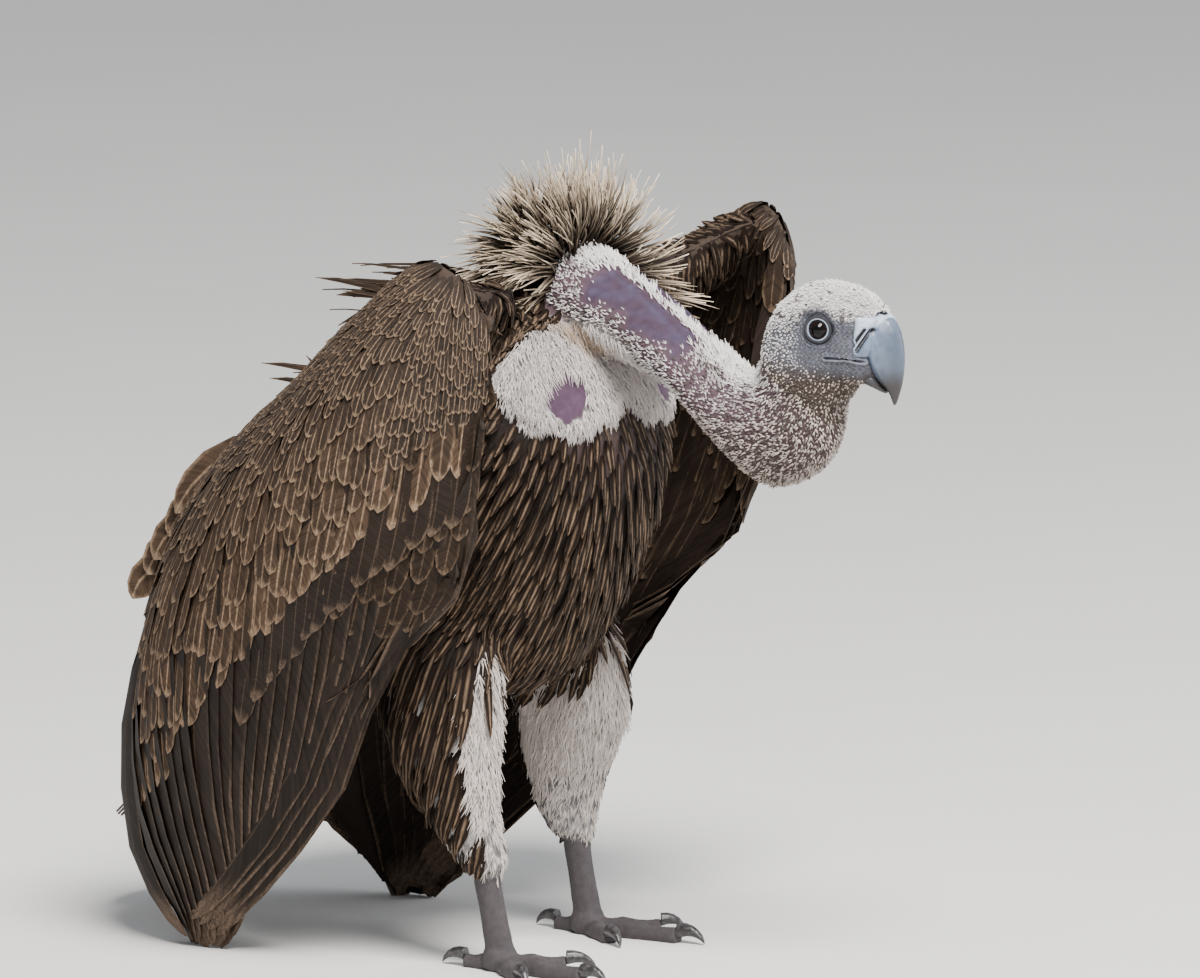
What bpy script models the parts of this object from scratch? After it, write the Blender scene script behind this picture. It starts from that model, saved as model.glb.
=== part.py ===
"""White-backed vulture, life size, standing with its wings half lifted.

Metres, +Z up. The bird faces -Y and its left side is +X.
Each named object is one part of the body. Run with:
    blender --background --python part.py
"""
import math

import bmesh
import bpy
from mathutils import Matrix, Vector

# ---------------------------------------------------------------- driving sizes
GAP = 0.0003            # clearance between parts that meet
SIDES = {"right": -1, "left": 1}

# Midline stations of the trunk, from neck root to tail root:
# (back y, back z, breast y, breast z, half width)
TRUNK = [
    (0.020, 0.556, -0.050, 0.476, 0.056),
    (0.055, 0.536, -0.068, 0.428, 0.096),
    (0.092, 0.498, -0.070, 0.380, 0.118),
    (0.135, 0.450, -0.058, 0.322, 0.122),
    (0.176, 0.400, -0.034, 0.262, 0.116),
    (0.212, 0.350, 0.006, 0.210, 0.100),
    (0.240, 0.305, 0.070, 0.190, 0.084),
    (0.256, 0.272, 0.135, 0.194, 0.064),
    (0.266, 0.250, 0.190, 0.206, 0.044),
]

# Midline stations of the neck, from the ruff down, forward and up to the nape.
NECK = [
    (0.004, 0.556, -0.043, 0.474, 0.046),
    (-0.040, 0.543, -0.076, 0.462, 0.042),
    (-0.090, 0.517, -0.122, 0.440, 0.040),
    (-0.135, 0.487, -0.160, 0.403, 0.039),
    (-0.168, 0.466, -0.200, 0.377, 0.038),
    (-0.183, 0.462, -0.241, 0.393, 0.037),
    (-0.190, 0.466, -0.258, 0.422, 0.035),
    (-0.193, 0.478, -0.259, 0.444, 0.034),
]
NECK_PARTING = 3.5      # station where the neck is parted into two lengths
NECK_LAST = len(NECK) - 1
NECK_FINE = 70          # fine steps along the whole neck
NECK_LOWER_RINGS = 9
NECK_UPPER_RINGS = 12
NECK_SIDES = 16
TRUNK_RINGS = 17
TRUNK_SIDES = 20
HEAD_RINGS = 14
HEAD_SIDES = 20

# Midline stations of the head, from the nape to the root of the bill.
HEAD = [
    (-0.193, 0.4783, -0.259, 0.4443, 0.034),
    (-0.197, 0.502, -0.266, 0.451, 0.033),
    (-0.212, 0.523, -0.271, 0.458, 0.031),
    (-0.236, 0.537, -0.276, 0.463, 0.030),
    (-0.262, 0.538, -0.282, 0.462, 0.028),
    (-0.284, 0.532, -0.290, 0.463, 0.024),
    (-0.299, 0.522, -0.296, 0.466, 0.018),
]
EYE = Vector((0.0235, -0.2565, 0.5050))
EYE_RADIUS = 0.0085

# Midline stations of the bill: (ridge y, ridge z, edge y, edge z, half width)
UPPER_BILL = [
    (-0.284, 0.5190, -0.279, 0.4875, 0.0150),
    (-0.3000, 0.5180, -0.287, 0.484, 0.0148),
    (-0.3095, 0.5105, -0.293, 0.478, 0.0132),
    (-0.3145, 0.4975, -0.297, 0.471, 0.0112),
    (-0.3160, 0.4835, -0.3005, 0.465, 0.0088),
    (-0.3150, 0.4690, -0.3040, 0.4605, 0.0060),
    (-0.3120, 0.4570, -0.3065, 0.4550, 0.0032),
    (-0.3092, 0.4495, -0.3080, 0.4492, 0.0010),
]
LOWER_BILL = [
    (-0.277, 0.4830, -0.278, 0.4650, 0.0128),
    (-0.286, 0.4790, -0.288, 0.4620, 0.0118),
    (-0.2930, 0.4720, -0.294, 0.4600, 0.0092),
    (-0.2985, 0.4650, -0.299, 0.4580, 0.0055),
    (-0.3015, 0.4605, -0.3015, 0.4575, 0.0022),
]

# Level slices of a folded, lifted wing:
# (height, leading x, leading y, widest x, inner x, inner y, thickness)
WING = [
    (0.561, 0.204, -0.040, 0.207, 0.203, -0.028, 0.008),
    (0.548, 0.196, -0.060, 0.219, 0.196, 0.000, 0.026),
    (0.520, 0.187, -0.074, 0.230, 0.172, 0.042, 0.032),
    (0.490, 0.184, -0.075, 0.236, 0.125, 0.092, 0.030),
    (0.455, 0.183, -0.069, 0.240, 0.085, 0.140, 0.026),
    (0.410, 0.183, -0.060, 0.240, 0.058, 0.205, 0.022),
    (0.360, 0.180, -0.048, 0.236, 0.044, 0.262, 0.018),
    (0.300, 0.175, -0.030, 0.226, 0.034, 0.308, 0.015),
    (0.255, 0.170, 0.030, 0.215, 0.044, 0.318, 0.013),
    (0.200, 0.165, 0.058, 0.202, 0.060, 0.330, 0.011),
    (0.150, 0.160, 0.084, 0.188, 0.077, 0.334, 0.010),
    (0.105, 0.152, 0.124, 0.173, 0.090, 0.328, 0.009),
    (0.050, 0.138, 0.182, 0.152, 0.106, 0.306, 0.008),
    (0.000, 0.126, 0.226, 0.132, 0.114, 0.256, 0.008),
]
WING_SPREAD = {"right": 0.0, "left": 0.014}     # how much further out each wing is held
WING_STEPS = 10         # faces across a slice
WING_SLICES = 20        # slices up the wing
# The flight feathers part from the coverts on a plane that drops to the rear.
COVERT_EDGE = Vector((0.0, 0.0, 0.262))
COVERT_NORMAL = Vector((0.0, 0.22, 1.0)).normalized()

# Feathered shoulder that carries each wing, sloping down to the rear:
# (x, y, z, half length, half thickness)
SHOULDER = [
    (0.050, 0.052, 0.462, 0.088, 0.034),
    (0.100, 0.046, 0.468, 0.088, 0.030),
    (0.150, 0.032, 0.484, 0.080, 0.024),
    (0.185, 0.018, 0.500, 0.070, 0.019),
    (0.215, 0.004, 0.512, 0.056, 0.014),
]
SHOULDER_SLOPE = math.radians(40)

# Tail, root to tip: (y, z, half width, half thickness)
TAIL = [
    (0.205, 0.246, 0.030, 0.015),
    (0.262, 0.205, 0.046, 0.013),
    (0.330, 0.142, 0.062, 0.009),
    (0.385, 0.090, 0.070, 0.006),
    (0.402, 0.072, 0.060, 0.004),
]

# Feathered thigh, top to hock: (z, x, y, half width, half depth)
THIGH = [
    (0.300, 0.060, 0.078, 0.034, 0.060),
    (0.240, 0.074, 0.064, 0.044, 0.064),
    (0.190, 0.081, 0.052, 0.043, 0.056),
    (0.150, 0.084, 0.042, 0.036, 0.047),
    (0.115, 0.085, 0.028, 0.027, 0.035),
    (0.090, 0.085, 0.014, 0.019, 0.024),
    (0.076, 0.085, 0.008, 0.013, 0.016),
]
THIGH_SIDES = 16
STAND_FROM = 0.17       # below this height a leg swings back to where it stands
STAND_OVER = 0.08       # height over which it swings
SHANK_RADIUS = 0.0082
SHANK_SIDES = 10
SHANK_TOP = 0.0757      # height where the scaly shank leaves the feathers
ANKLE = 0.016           # height of the shank's lower end
HEEL_RADIUS = 0.0135    # pad where the toes meet
HEEL_HEIGHT = 0.009
TOE_STEPS = 6
CLAW_STEPS = 5
CLAW_TIP = 0.0006       # radius of a claw's point, and its clearance over the floor

# Toes: (direction in degrees from straight ahead, length, radius, claw length)
TOES = {
    "middle": (4, 0.082, 0.0078, 0.024),
    "outer": (38, 0.056, 0.0068, 0.020),
    "inner": (-34, 0.050, 0.0072, 0.024),
    "hind": (176, 0.030, 0.0066, 0.022),
}
FOOT_PLACE = {"right": (-0.078, 0.000), "left": (0.090, 0.040)}
LEG_SHIFT = {"right": 0.0, "left": 0.040}     # how far each leg stands back

# Ruff of stiff feathers round the back and sides of the neck root.
RUFF_CENTRE = Vector((0.0, -0.005, 0.520))
RUFF_AXIS = Vector((0.0, -0.95, -0.31)).normalized()    # along the neck, outward
RUFF_HALF_ANGLE = 125   # degrees each way from the top
RUFF_STEPS = 20
RUFF_ROOT = 0.036       # radius where the feathers leave the neck
RUFF_REACH = 0.095      # radius at the tips
RUFF_FRONT = (0.012, 0.066)     # how far the front tips lean forward: top, sides
RUFF_BACK = (0.070, 0.004)      # how far the rear tips lean back: top, sides

# Colour, roughness
FINISHES = {
    "brown_feather": ((0.10, 0.065, 0.045), 0.75),
    "flight_feather": ((0.035, 0.026, 0.021), 0.6),
    "ruff_feather": ((0.24, 0.17, 0.11), 0.8),
    "white_down": ((0.68, 0.64, 0.60), 0.95),
    "neck_skin": ((0.34, 0.27, 0.33), 0.8),
    "bill_horn": ((0.17, 0.21, 0.27), 0.35),
    "eye_dark": ((0.012, 0.010, 0.012), 0.08),
    "leg_scale": ((0.12, 0.11, 0.12), 0.6),
    "claw_horn": ((0.03, 0.028, 0.028), 0.35),
}


# ---------------------------------------------------------------- mesh helpers
def clear_scene():
    for item in list(bpy.data.objects):
        bpy.data.objects.remove(item, do_unlink=True)


def finish_material(slot):
    if slot in bpy.data.materials:
        return bpy.data.materials[slot]
    colour, rough = FINISHES[slot]
    material = bpy.data.materials.new(slot)
    material.use_nodes = True
    shader = material.node_tree.nodes["Principled BSDF"]
    shader.inputs["Base Color"].default_value = (*colour, 1.0)
    shader.inputs["Roughness"].default_value = rough
    shader.inputs["Metallic"].default_value = 0.0
    return material


def smooth_rows(rows, count):
    """Catmull-Rom curve through rows of numbers, read at count even steps."""
    last = len(rows) - 1
    padded = [rows[0], *rows, rows[-1]]
    result = []
    for step in range(count):
        place = step / (count - 1) * last
        index = min(int(place), last - 1)
        t = place - index
        before, start, end, after = padded[index:index + 4]
        row = []
        for a, b, c, d in zip(before, start, end, after):
            row.append(0.5 * (2 * b + (c - a) * t + (2 * a - 5 * b + 4 * c - d) * t * t
                              + (3 * b - a - 3 * c + d) * t ** 3))
        result.append(tuple(row))
    return result


def loft(rings):
    """Closed bmesh through rings of equal length, both ends capped."""
    mesh = bmesh.new()
    loops = [[mesh.verts.new(point) for point in ring] for ring in rings]
    for low, high in zip(loops, loops[1:]):
        for index, vert in enumerate(low):
            after = (index + 1) % len(low)
            mesh.faces.new((vert, low[after], high[after], high[index]))
    mesh.faces.new(list(reversed(loops[0])))
    mesh.faces.new(loops[-1])
    bmesh.ops.recalc_face_normals(mesh, faces=mesh.faces)
    return mesh


def place_object(name, mesh, slot):
    data = bpy.data.meshes.new(name)
    mesh.to_mesh(data)
    mesh.free()
    body = bpy.data.objects.new(name, data)
    bpy.context.collection.objects.link(body)
    body.data.materials.append(finish_material(slot))
    body.data.shade_smooth()
    return body


def apply_boolean(body, mesh, operation, solver="EXACT"):
    """Cut mesh from body, or join it on, and keep the result as plain mesh."""
    tool = place_object("tool", mesh, body.data.materials[0].name)
    change = body.modifiers.new("change", "BOOLEAN")
    change.operation = operation
    change.solver = solver
    change.object = tool
    graph = bpy.context.evaluated_depsgraph_get()
    result = bpy.data.meshes.new_from_object(body.evaluated_get(graph))
    body.modifiers.clear()
    body.data = result
    bpy.data.objects.remove(tool, do_unlink=True)


def swollen(mesh):
    """Bmesh moved out along its normals by the clearance, as a cutting tool."""
    mesh.normal_update()
    places = [vert.co + vert.normal * GAP * 2.5 for vert in mesh.verts]
    for vert, place in zip(mesh.verts, places):
        vert.co = place
    return mesh


def copy_mesh(body):
    mesh = bmesh.new()
    mesh.from_mesh(body.data)
    return mesh


def trim(body, point, normal):
    """Cut off what lies beyond a plane, on the side its normal points to."""
    mesh = copy_mesh(body)
    everything = mesh.verts[:] + mesh.edges[:] + mesh.faces[:]
    bmesh.ops.bisect_plane(mesh, geom=everything, plane_co=point, plane_no=normal,
                           clear_outer=True, dist=0.00001)
    rim = [edge for edge in mesh.edges if edge.is_boundary]
    bmesh.ops.holes_fill(mesh, edges=rim, sides=0)
    bmesh.ops.recalc_face_normals(mesh, faces=mesh.faces)
    mesh.to_mesh(body.data)
    mesh.free()


def signed_power(value, power):
    return math.copysign(abs(value) ** power, value)


def midline_ring(station, count, squareness=1.0, narrow_top=0.0, grow=0.0):
    """Ring about the midline plane from a (y, z, y, z, half width) station."""
    top_y, top_z, low_y, low_z, width = station
    half = Vector((0.0, top_y - low_y, top_z - low_z)) / 2
    centre = Vector((0.0, top_y + low_y, top_z + low_z)) / 2
    if grow:
        half += half.normalized() * grow
        width += grow
    ring = []
    for index in range(count):
        angle = 2 * math.pi * index / count
        rise = signed_power(math.cos(angle), squareness)
        side = signed_power(math.sin(angle), squareness)
        ring.append(centre + half * rise + Vector((width * side * (1 - narrow_top * rise), 0, 0)))
    return ring


def midline_loft(stations, rings, count, squareness=1.0, narrow_top=0.0, grow=0.0):
    rows = smooth_rows(stations, rings)
    sections = [midline_ring(row, count, squareness, narrow_top, grow) for row in rows]
    if grow:
        lead = (sections[0][0] - sections[1][0]).normalized() * grow
        tail = (sections[-1][0] - sections[-2][0]).normalized() * grow
        sections[0] = [point + lead for point in sections[0]]
        sections[-1] = [point + tail for point in sections[-1]]
    return loft(sections)


# ---------------------------------------------------------------- trunk and neck
def trunk_mesh():
    return midline_loft(TRUNK, TRUNK_RINGS, TRUNK_SIDES, squareness=0.92)


def neck_mesh(first, last, rings, grow=0.0):
    """Part of the neck between two station numbers."""
    fine = smooth_rows(NECK, NECK_FINE + 1)
    per_station = NECK_FINE / NECK_LAST
    begin = round(first * per_station)
    end = round(last * per_station)
    rows = [fine[begin + round((end - begin) * step / (rings - 1))] for step in range(rings)]
    return loft([midline_ring(row, NECK_SIDES, grow=grow) for row in rows])


def make_trunk():
    trunk = place_object("trunk", trunk_mesh(), "brown_feather")
    apply_boolean(trunk, neck_mesh(0, NECK_PARTING, NECK_LOWER_RINGS, grow=GAP), "DIFFERENCE")


def make_neck():
    place_object("neck_lower", neck_mesh(0, NECK_PARTING, NECK_LOWER_RINGS), "neck_skin")
    upper = place_object("neck_upper", neck_mesh(NECK_PARTING, NECK_LAST, NECK_UPPER_RINGS),
                         "neck_skin")
    row = smooth_rows(NECK, NECK_FINE + 1)[round(NECK_PARTING * NECK_FINE / NECK_LAST)]
    top = Vector((0.0, row[0], row[1]))
    low = Vector((0.0, row[2], row[3]))
    along = (top - low).cross(Vector((1, 0, 0))).normalized()
    if along.y > 0:
        along.negate()
    trim(upper, (top + low) / 2 + along * GAP, -along)


def ruff_ring(angle):
    """Fan-shaped section of the ruff at an angle from its top."""
    up = RUFF_AXIS.cross(Vector((1, 0, 0))).normalized()
    if up.z < 0:
        up.negate()
    out = Vector((math.sin(angle), 0, 0)) + up * math.cos(angle)
    side = min(1.0, 2 * math.sin(angle / 2) ** 2)
    fade = 1.0 - 0.45 * (abs(angle) / math.radians(RUFF_HALF_ANGLE)) ** 4
    reach = RUFF_ROOT + (RUFF_REACH - RUFF_ROOT) * fade
    front = RUFF_FRONT[0] + (RUFF_FRONT[1] - RUFF_FRONT[0]) * side
    back = RUFF_BACK[0] + (RUFF_BACK[1] - RUFF_BACK[0]) * side
    low_reach = reach * (0.42 + 0.46 * side)

    def place(radius, along):
        return RUFF_CENTRE + out * radius + RUFF_AXIS * along

    return [
        place(RUFF_ROOT, 0.010 + front * 0.2),
        place((RUFF_ROOT + reach) / 2, front * 0.75 + 0.006),
        place(reach, front),
        place(reach * 0.90, front - 0.012 - back * 0.35),
        place(low_reach, -back),
        place(RUFF_ROOT, -back * 0.75 - 0.006),
    ]


def make_ruff():
    half = math.radians(RUFF_HALF_ANGLE)
    angles = [half * (2 * step / RUFF_STEPS - 1) for step in range(RUFF_STEPS + 1)]
    ruff = place_object("ruff", loft([ruff_ring(angle) for angle in angles]), "ruff_feather")
    apply_boolean(ruff, swollen(trunk_mesh()), "DIFFERENCE")
    apply_boolean(ruff, neck_mesh(0, NECK_PARTING, NECK_LOWER_RINGS, grow=2 * GAP), "DIFFERENCE")


# ---------------------------------------------------------------- head
def ball_mesh(centre, radius, segments=14, rings=9):
    mesh = bmesh.new()
    turn = Matrix.Rotation(math.pi / 2, 4, "Y")
    bmesh.ops.create_uvsphere(mesh, u_segments=segments, v_segments=rings, radius=radius,
                              matrix=Matrix.Translation(centre) @ turn)
    return mesh


def upper_bill_mesh(grow=0.0):
    return midline_loft(UPPER_BILL, 13, 12, narrow_top=0.30, grow=grow)


def lower_bill_mesh(grow=0.0):
    return midline_loft(LOWER_BILL, 7, 10, narrow_top=-0.15, grow=grow)


def make_head():
    head = place_object("head", midline_loft(HEAD, HEAD_RINGS, HEAD_SIDES, 0.9, narrow_top=0.06), "white_down")
    apply_boolean(head, upper_bill_mesh(grow=GAP), "DIFFERENCE")
    apply_boolean(head, lower_bill_mesh(grow=GAP), "DIFFERENCE")
    for side, sign in SIDES.items():
        centre = Vector((EYE.x * sign, EYE.y, EYE.z))
        place_object(f"eye_{side}", ball_mesh(centre, EYE_RADIUS), "eye_dark")
        apply_boolean(head, ball_mesh(centre, EYE_RADIUS + GAP), "DIFFERENCE")
    place_object("bill_upper", upper_bill_mesh(), "bill_horn")
    lower = place_object("bill_lower", lower_bill_mesh(), "bill_horn")
    apply_boolean(lower, upper_bill_mesh(grow=GAP), "DIFFERENCE")


# ---------------------------------------------------------------- wings
def bezier(points, t):
    a, b, c, d = points
    s = 1 - t
    return a * s ** 3 + b * 3 * s * s * t + c * 3 * s * t * t + d * t ** 3


def wing_ring(level, side):
    """Outline of a wing slice: out along its outer face, back along its inner one."""
    height, lead_x, lead_y, wide_x, inner_x, inner_y, thick = level
    spread = WING_SPREAD[side]
    length = inner_y - lead_y
    bulge = (wide_x - (lead_x + inner_x) / 8) * 4 / 3
    curve = [
        Vector((lead_x, lead_y)),
        Vector((bulge, lead_y + 0.22 * length)),
        Vector((bulge, lead_y + 0.92 * length)),
        Vector((inner_x, inner_y)),
    ]
    outer = []
    inner = []
    for step in range(WING_STEPS + 1):
        t = step / WING_STEPS
        here = bezier(curve, t)
        along = bezier(curve, min(t + 0.01, 1.0)) - bezier(curve, max(t - 0.01, 0.0))
        inward = Vector((-along.y, along.x)).normalized()
        depth = thick * (0.45 + 0.55 * math.sin(math.pi * min(0.15 + 1.1 * t, 1.0)))
        outer.append(here)
        inner.append(here + inward * depth)
    ring = outer + list(reversed(inner))
    return [Vector(((point.x + spread) * SIDES[side], point.y, height)) for point in ring]


def wing_mesh(side):
    return loft([wing_ring(level, side) for level in smooth_rows(WING, WING_SLICES)])


def shoulder_mesh(side):
    length_way = Vector((0.0, math.cos(SHOULDER_SLOPE), -math.sin(SHOULDER_SLOPE)))
    thick_way = Vector((0.0, math.sin(SHOULDER_SLOPE), math.cos(SHOULDER_SLOPE)))
    rings = []
    for x, y, z, length, thick in smooth_rows(SHOULDER, 7):
        centre = Vector((x * SIDES[side], y, z))
        ring = []
        for index in range(14):
            angle = 2 * math.pi * index / 14
            ring.append(centre + length_way * length * math.cos(angle)
                        + thick_way * thick * math.sin(angle))
        rings.append(ring)
    return loft(rings)


def make_wing(side):
    wing = place_object(f"wing_{side}", wing_mesh(side), "brown_feather")
    shoulder = place_object(f"shoulder_{side}", shoulder_mesh(side), "brown_feather")
    neighbours = [copy_mesh(wing), trunk_mesh(), copy_mesh(bpy.data.objects["ruff"])]
    for neighbour in neighbours:
        # EXACT loses the shoulder here, because the ruff and trunk graze its faces.
        apply_boolean(shoulder, swollen(neighbour), "DIFFERENCE", solver="MANIFOLD")
    apply_boolean(wing, swollen(trunk_mesh()), "DIFFERENCE")
    flight = place_object(f"flight_feathers_{side}", wing_mesh(side), "flight_feather")
    trim(wing, COVERT_EDGE + COVERT_NORMAL * GAP / 2, -COVERT_NORMAL)
    trim(flight, COVERT_EDGE - COVERT_NORMAL * GAP / 2, COVERT_NORMAL)


# ---------------------------------------------------------------- tail and legs
def make_tail():
    rings = []
    for y, z, width, thick in smooth_rows(TAIL, 9):
        lift = Vector((0.0, 0.66, 0.75)) * thick
        ring = []
        for index in range(16):
            angle = 2 * math.pi * index / 16
            side = signed_power(math.cos(angle), 0.8)
            rise = signed_power(math.sin(angle), 0.8)
            arch = -0.10 * width * side * side
            ring.append(Vector((width * side, y, z + arch)) + lift * rise)
        rings.append(ring)
    tail = place_object("tail", loft(rings), "flight_feather")
    apply_boolean(tail, swollen(trunk_mesh()), "DIFFERENCE")


def thigh_rings(side, sign):
    rings = []
    back = LEG_SHIFT[side]
    for z, x, y, width, depth in smooth_rows(THIGH, 11):
        stand = back * min(1.0, max(0.0, (STAND_FROM - z) / STAND_OVER))
        ring = []
        for index in range(THIGH_SIDES):
            angle = 2 * math.pi * index / THIGH_SIDES
            ring.append(Vector((x * sign + width * math.cos(angle),
                                y + stand + depth * math.sin(angle), z)))
        rings.append(ring)
    return rings


def make_thigh(side, sign):
    thigh = place_object(f"thigh_{side}", loft(thigh_rings(side, sign)), "white_down")
    apply_boolean(thigh, swollen(trunk_mesh()), "DIFFERENCE")


def round_ring(centre, along, radius, count=10, flatten=1.0):
    across = along.cross(Vector((0, 0, 1)))
    if across.length < 0.1:
        across = Vector((1, 0, 0))
    across.normalize()
    rise = across.cross(along).normalized()
    ring = []
    for index in range(count):
        angle = 2 * math.pi * index / count
        ring.append(centre + across * radius * math.cos(angle)
                    + rise * radius * flatten * math.sin(angle))
    return ring


def toe_mesh(heel, direction, length, radius):
    """Toe with two soft knuckles, thinning to where the claw leaves it."""
    rings = []
    for step in range(TOE_STEPS + 1):
        t = step / TOE_STEPS
        thick = radius * (1.12 - 0.30 * t + 0.10 * math.cos(t * 4 * math.pi))
        centre = heel + direction * length * t + Vector((0, 0, thick * 0.62))
        rings.append(round_ring(centre, direction, thick, count=8))
    return loft(rings)


def claw_mesh(heel, direction, length, radius, claw):
    """Curved claw that starts at the toe's end and points down to the floor."""
    rings = []
    base = radius * 0.72
    for step in range(CLAW_STEPS + 1):
        t = step / CLAW_STEPS
        thick = base * (1 - t) ** 0.8 + CLAW_TIP
        rise = 0.0052 + 0.0065 * math.sin(math.pi * (0.25 + 0.75 * t)) - 0.0040 * t
        centre = heel + direction * (length + GAP + claw * math.sin(t * 1.35))
        centre.z = max(rise, thick + CLAW_TIP)
        rings.append(round_ring(centre, direction, thick, count=7))
    return loft(rings)


def make_foot(side, sign):
    x, y = FOOT_PLACE[side]
    heel = Vector((x, y, 0.0))
    pad = ball_mesh(heel + Vector((0, 0, HEEL_HEIGHT)), HEEL_RADIUS, 10, 7)
    foot = place_object(f"foot_{side}", pad, "leg_scale")
    for toe, (bearing, length, radius, claw) in TOES.items():
        angle = math.radians(bearing)
        direction = Vector((math.sin(angle) * sign, -math.cos(angle), 0.0))
        apply_boolean(foot, toe_mesh(heel, direction, length, radius), "UNION")
        place_object(f"claw_{toe}_{side}",
                     claw_mesh(heel, direction, length, radius, claw), "claw_horn")
    trim(foot, Vector((0, 0, 0)), Vector((0, 0, -1)))
    return foot


def shank_mesh(side, sign):
    """Bare shank between the thigh's feathers and the foot."""
    foot_x, foot_y = FOOT_PLACE[side]
    top = Vector((THIGH[-1][1] * sign, THIGH[-1][2] + LEG_SHIFT[side], SHANK_TOP))
    foot = Vector((foot_x, foot_y, ANKLE))
    rings = []
    for step in range(7):
        t = step / 6
        radius = SHANK_RADIUS * (1.18 - 0.55 * t + 0.62 * t * t)
        centre = top.lerp(foot, t)
        ring = []
        for index in range(SHANK_SIDES):
            angle = 2 * math.pi * index / SHANK_SIDES
            ring.append(centre + Vector((math.cos(angle), 1.15 * math.sin(angle), 0)) * radius)
        rings.append(ring)
    return loft(rings)


def make_leg(side, sign):
    make_thigh(side, sign)
    foot = make_foot(side, sign)
    shank = place_object(f"shank_{side}", shank_mesh(side, sign), "leg_scale")
    apply_boolean(shank, swollen(copy_mesh(foot)), "DIFFERENCE")


# ---------------------------------------------------------------- whole bird
def centre_on_floor():
    """Put the middle of the bird's footprint at the origin, its soles at z = 0."""
    bodies = [body for body in bpy.data.objects if body.type == "MESH"]
    corners = [vert.co for body in bodies for vert in body.data.vertices]
    low = Vector([min(point[axis] for point in corners) for axis in range(3)])
    high = Vector([max(point[axis] for point in corners) for axis in range(3)])
    shift = Matrix.Translation((-(low.x + high.x) / 2, -(low.y + high.y) / 2, -low.z))
    for body in bodies:
        body.data.transform(shift)


def main():
    clear_scene()
    make_trunk()
    make_neck()
    make_ruff()
    make_head()
    for side, sign in SIDES.items():
        make_wing(side)
        make_leg(side, sign)
    make_tail()
    centre_on_floor()


main()
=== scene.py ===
"""White-backed vulture: one skin, its plumage, bill, eyes and claws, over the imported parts.

Metres, +Z up. The bird faces -Y and its left side is +X. Run inside Blender as a script.
"""
import math

import bmesh
import bpy
import numpy as np
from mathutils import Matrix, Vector
from mathutils.bvhtree import BVHTree
from mathutils.kdtree import KDTree


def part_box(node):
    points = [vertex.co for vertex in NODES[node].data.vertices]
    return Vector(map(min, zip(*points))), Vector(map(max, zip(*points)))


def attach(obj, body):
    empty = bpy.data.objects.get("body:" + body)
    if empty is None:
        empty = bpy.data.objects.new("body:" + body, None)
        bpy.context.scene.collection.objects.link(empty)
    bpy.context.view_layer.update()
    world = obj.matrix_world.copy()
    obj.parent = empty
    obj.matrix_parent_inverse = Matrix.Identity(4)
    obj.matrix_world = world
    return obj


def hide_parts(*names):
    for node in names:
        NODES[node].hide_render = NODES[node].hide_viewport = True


bl_info = {
    "name": "White-backed vulture",
    "version": (1, 0, 0),
    "blender": (4, 5, 0),
    "location": "View3D > Sidebar > Vulture",
    "description": "Skin, plumage and finishes of a standing white-backed vulture",
    "category": "Object",
}

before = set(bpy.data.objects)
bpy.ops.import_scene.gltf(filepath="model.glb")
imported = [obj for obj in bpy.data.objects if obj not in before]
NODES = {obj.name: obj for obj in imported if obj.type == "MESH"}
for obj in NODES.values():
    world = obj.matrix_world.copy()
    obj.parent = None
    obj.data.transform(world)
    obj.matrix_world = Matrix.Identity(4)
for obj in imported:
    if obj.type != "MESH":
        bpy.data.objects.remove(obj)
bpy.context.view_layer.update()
BODY = "root"
SIDES = {"right": -1, "left": 1}

# ---------------------------------------------------------------- places taken from the frame
EYES = {side: sum(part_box(f"eye_{side}"), Vector()) / 2 for side in SIDES}
EYE_RADIUS = (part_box("eye_left")[1].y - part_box("eye_left")[0].y) / 2
MID = (EYES["right"].x + EYES["left"].x) / 2        # x of the bird's plane of symmetry
RUFF_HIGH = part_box("ruff")[1]
TAIL_LOW, TAIL_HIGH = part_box("tail")
CORE = ["trunk", "neck_lower", "neck_upper", "head", "shoulder_right", "shoulder_left",
        "thigh_right", "thigh_left"]
FLESH = CORE + [f"{part}_{side}" for part in ("wing", "shank", "foot") for side in SIDES]
FUSE = 0.0006           # how far neighbouring parts are swollen so that they grow together

# How deep the skin lies under the outline of each part, which is the coat's depth.
COAT_DEPTH = {"trunk": 0.0080, "shoulder": 0.0060, "thigh": 0.0090, "neck_lower": 0.0026,
              "neck_upper": 0.0026, "head": 0.0016, "wing": 0.0030}
WING_BED = 0.0022       # how far the skin lies under the wing feathers' bed
SPECK = 100             # faces: smaller patches left by a union are dropped
MEND_ROUNDS = 6
EYE_OUT = abs(EYES["left"].x - MID)
EYE_TURN = 0.30         # radians that the eyes look forward of straight out
LID_OUT = 0.0044        # how far the lids' rims lie out from the eye's middle
LEG_REACH = 0.125       # |x - MID| that the legs and feet stay within
SCUTE = 0.0034          # length of one scale on the toes


# ---------------------------------------------------------------- settings
def size(name, description, value):
    return bpy.props.FloatProperty(name=name, description=description, default=value,
                                   unit="LENGTH")


def number(name, description, value):
    kind = bpy.props.IntProperty if isinstance(value, int) else bpy.props.FloatProperty
    return kind(name=name, description=description, default=value)


def tint(name, description, value):
    return bpy.props.FloatVectorProperty(name=name, description=description, default=value,
                                         subtype="COLOR", size=3, min=0.0, max=1.0)


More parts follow.
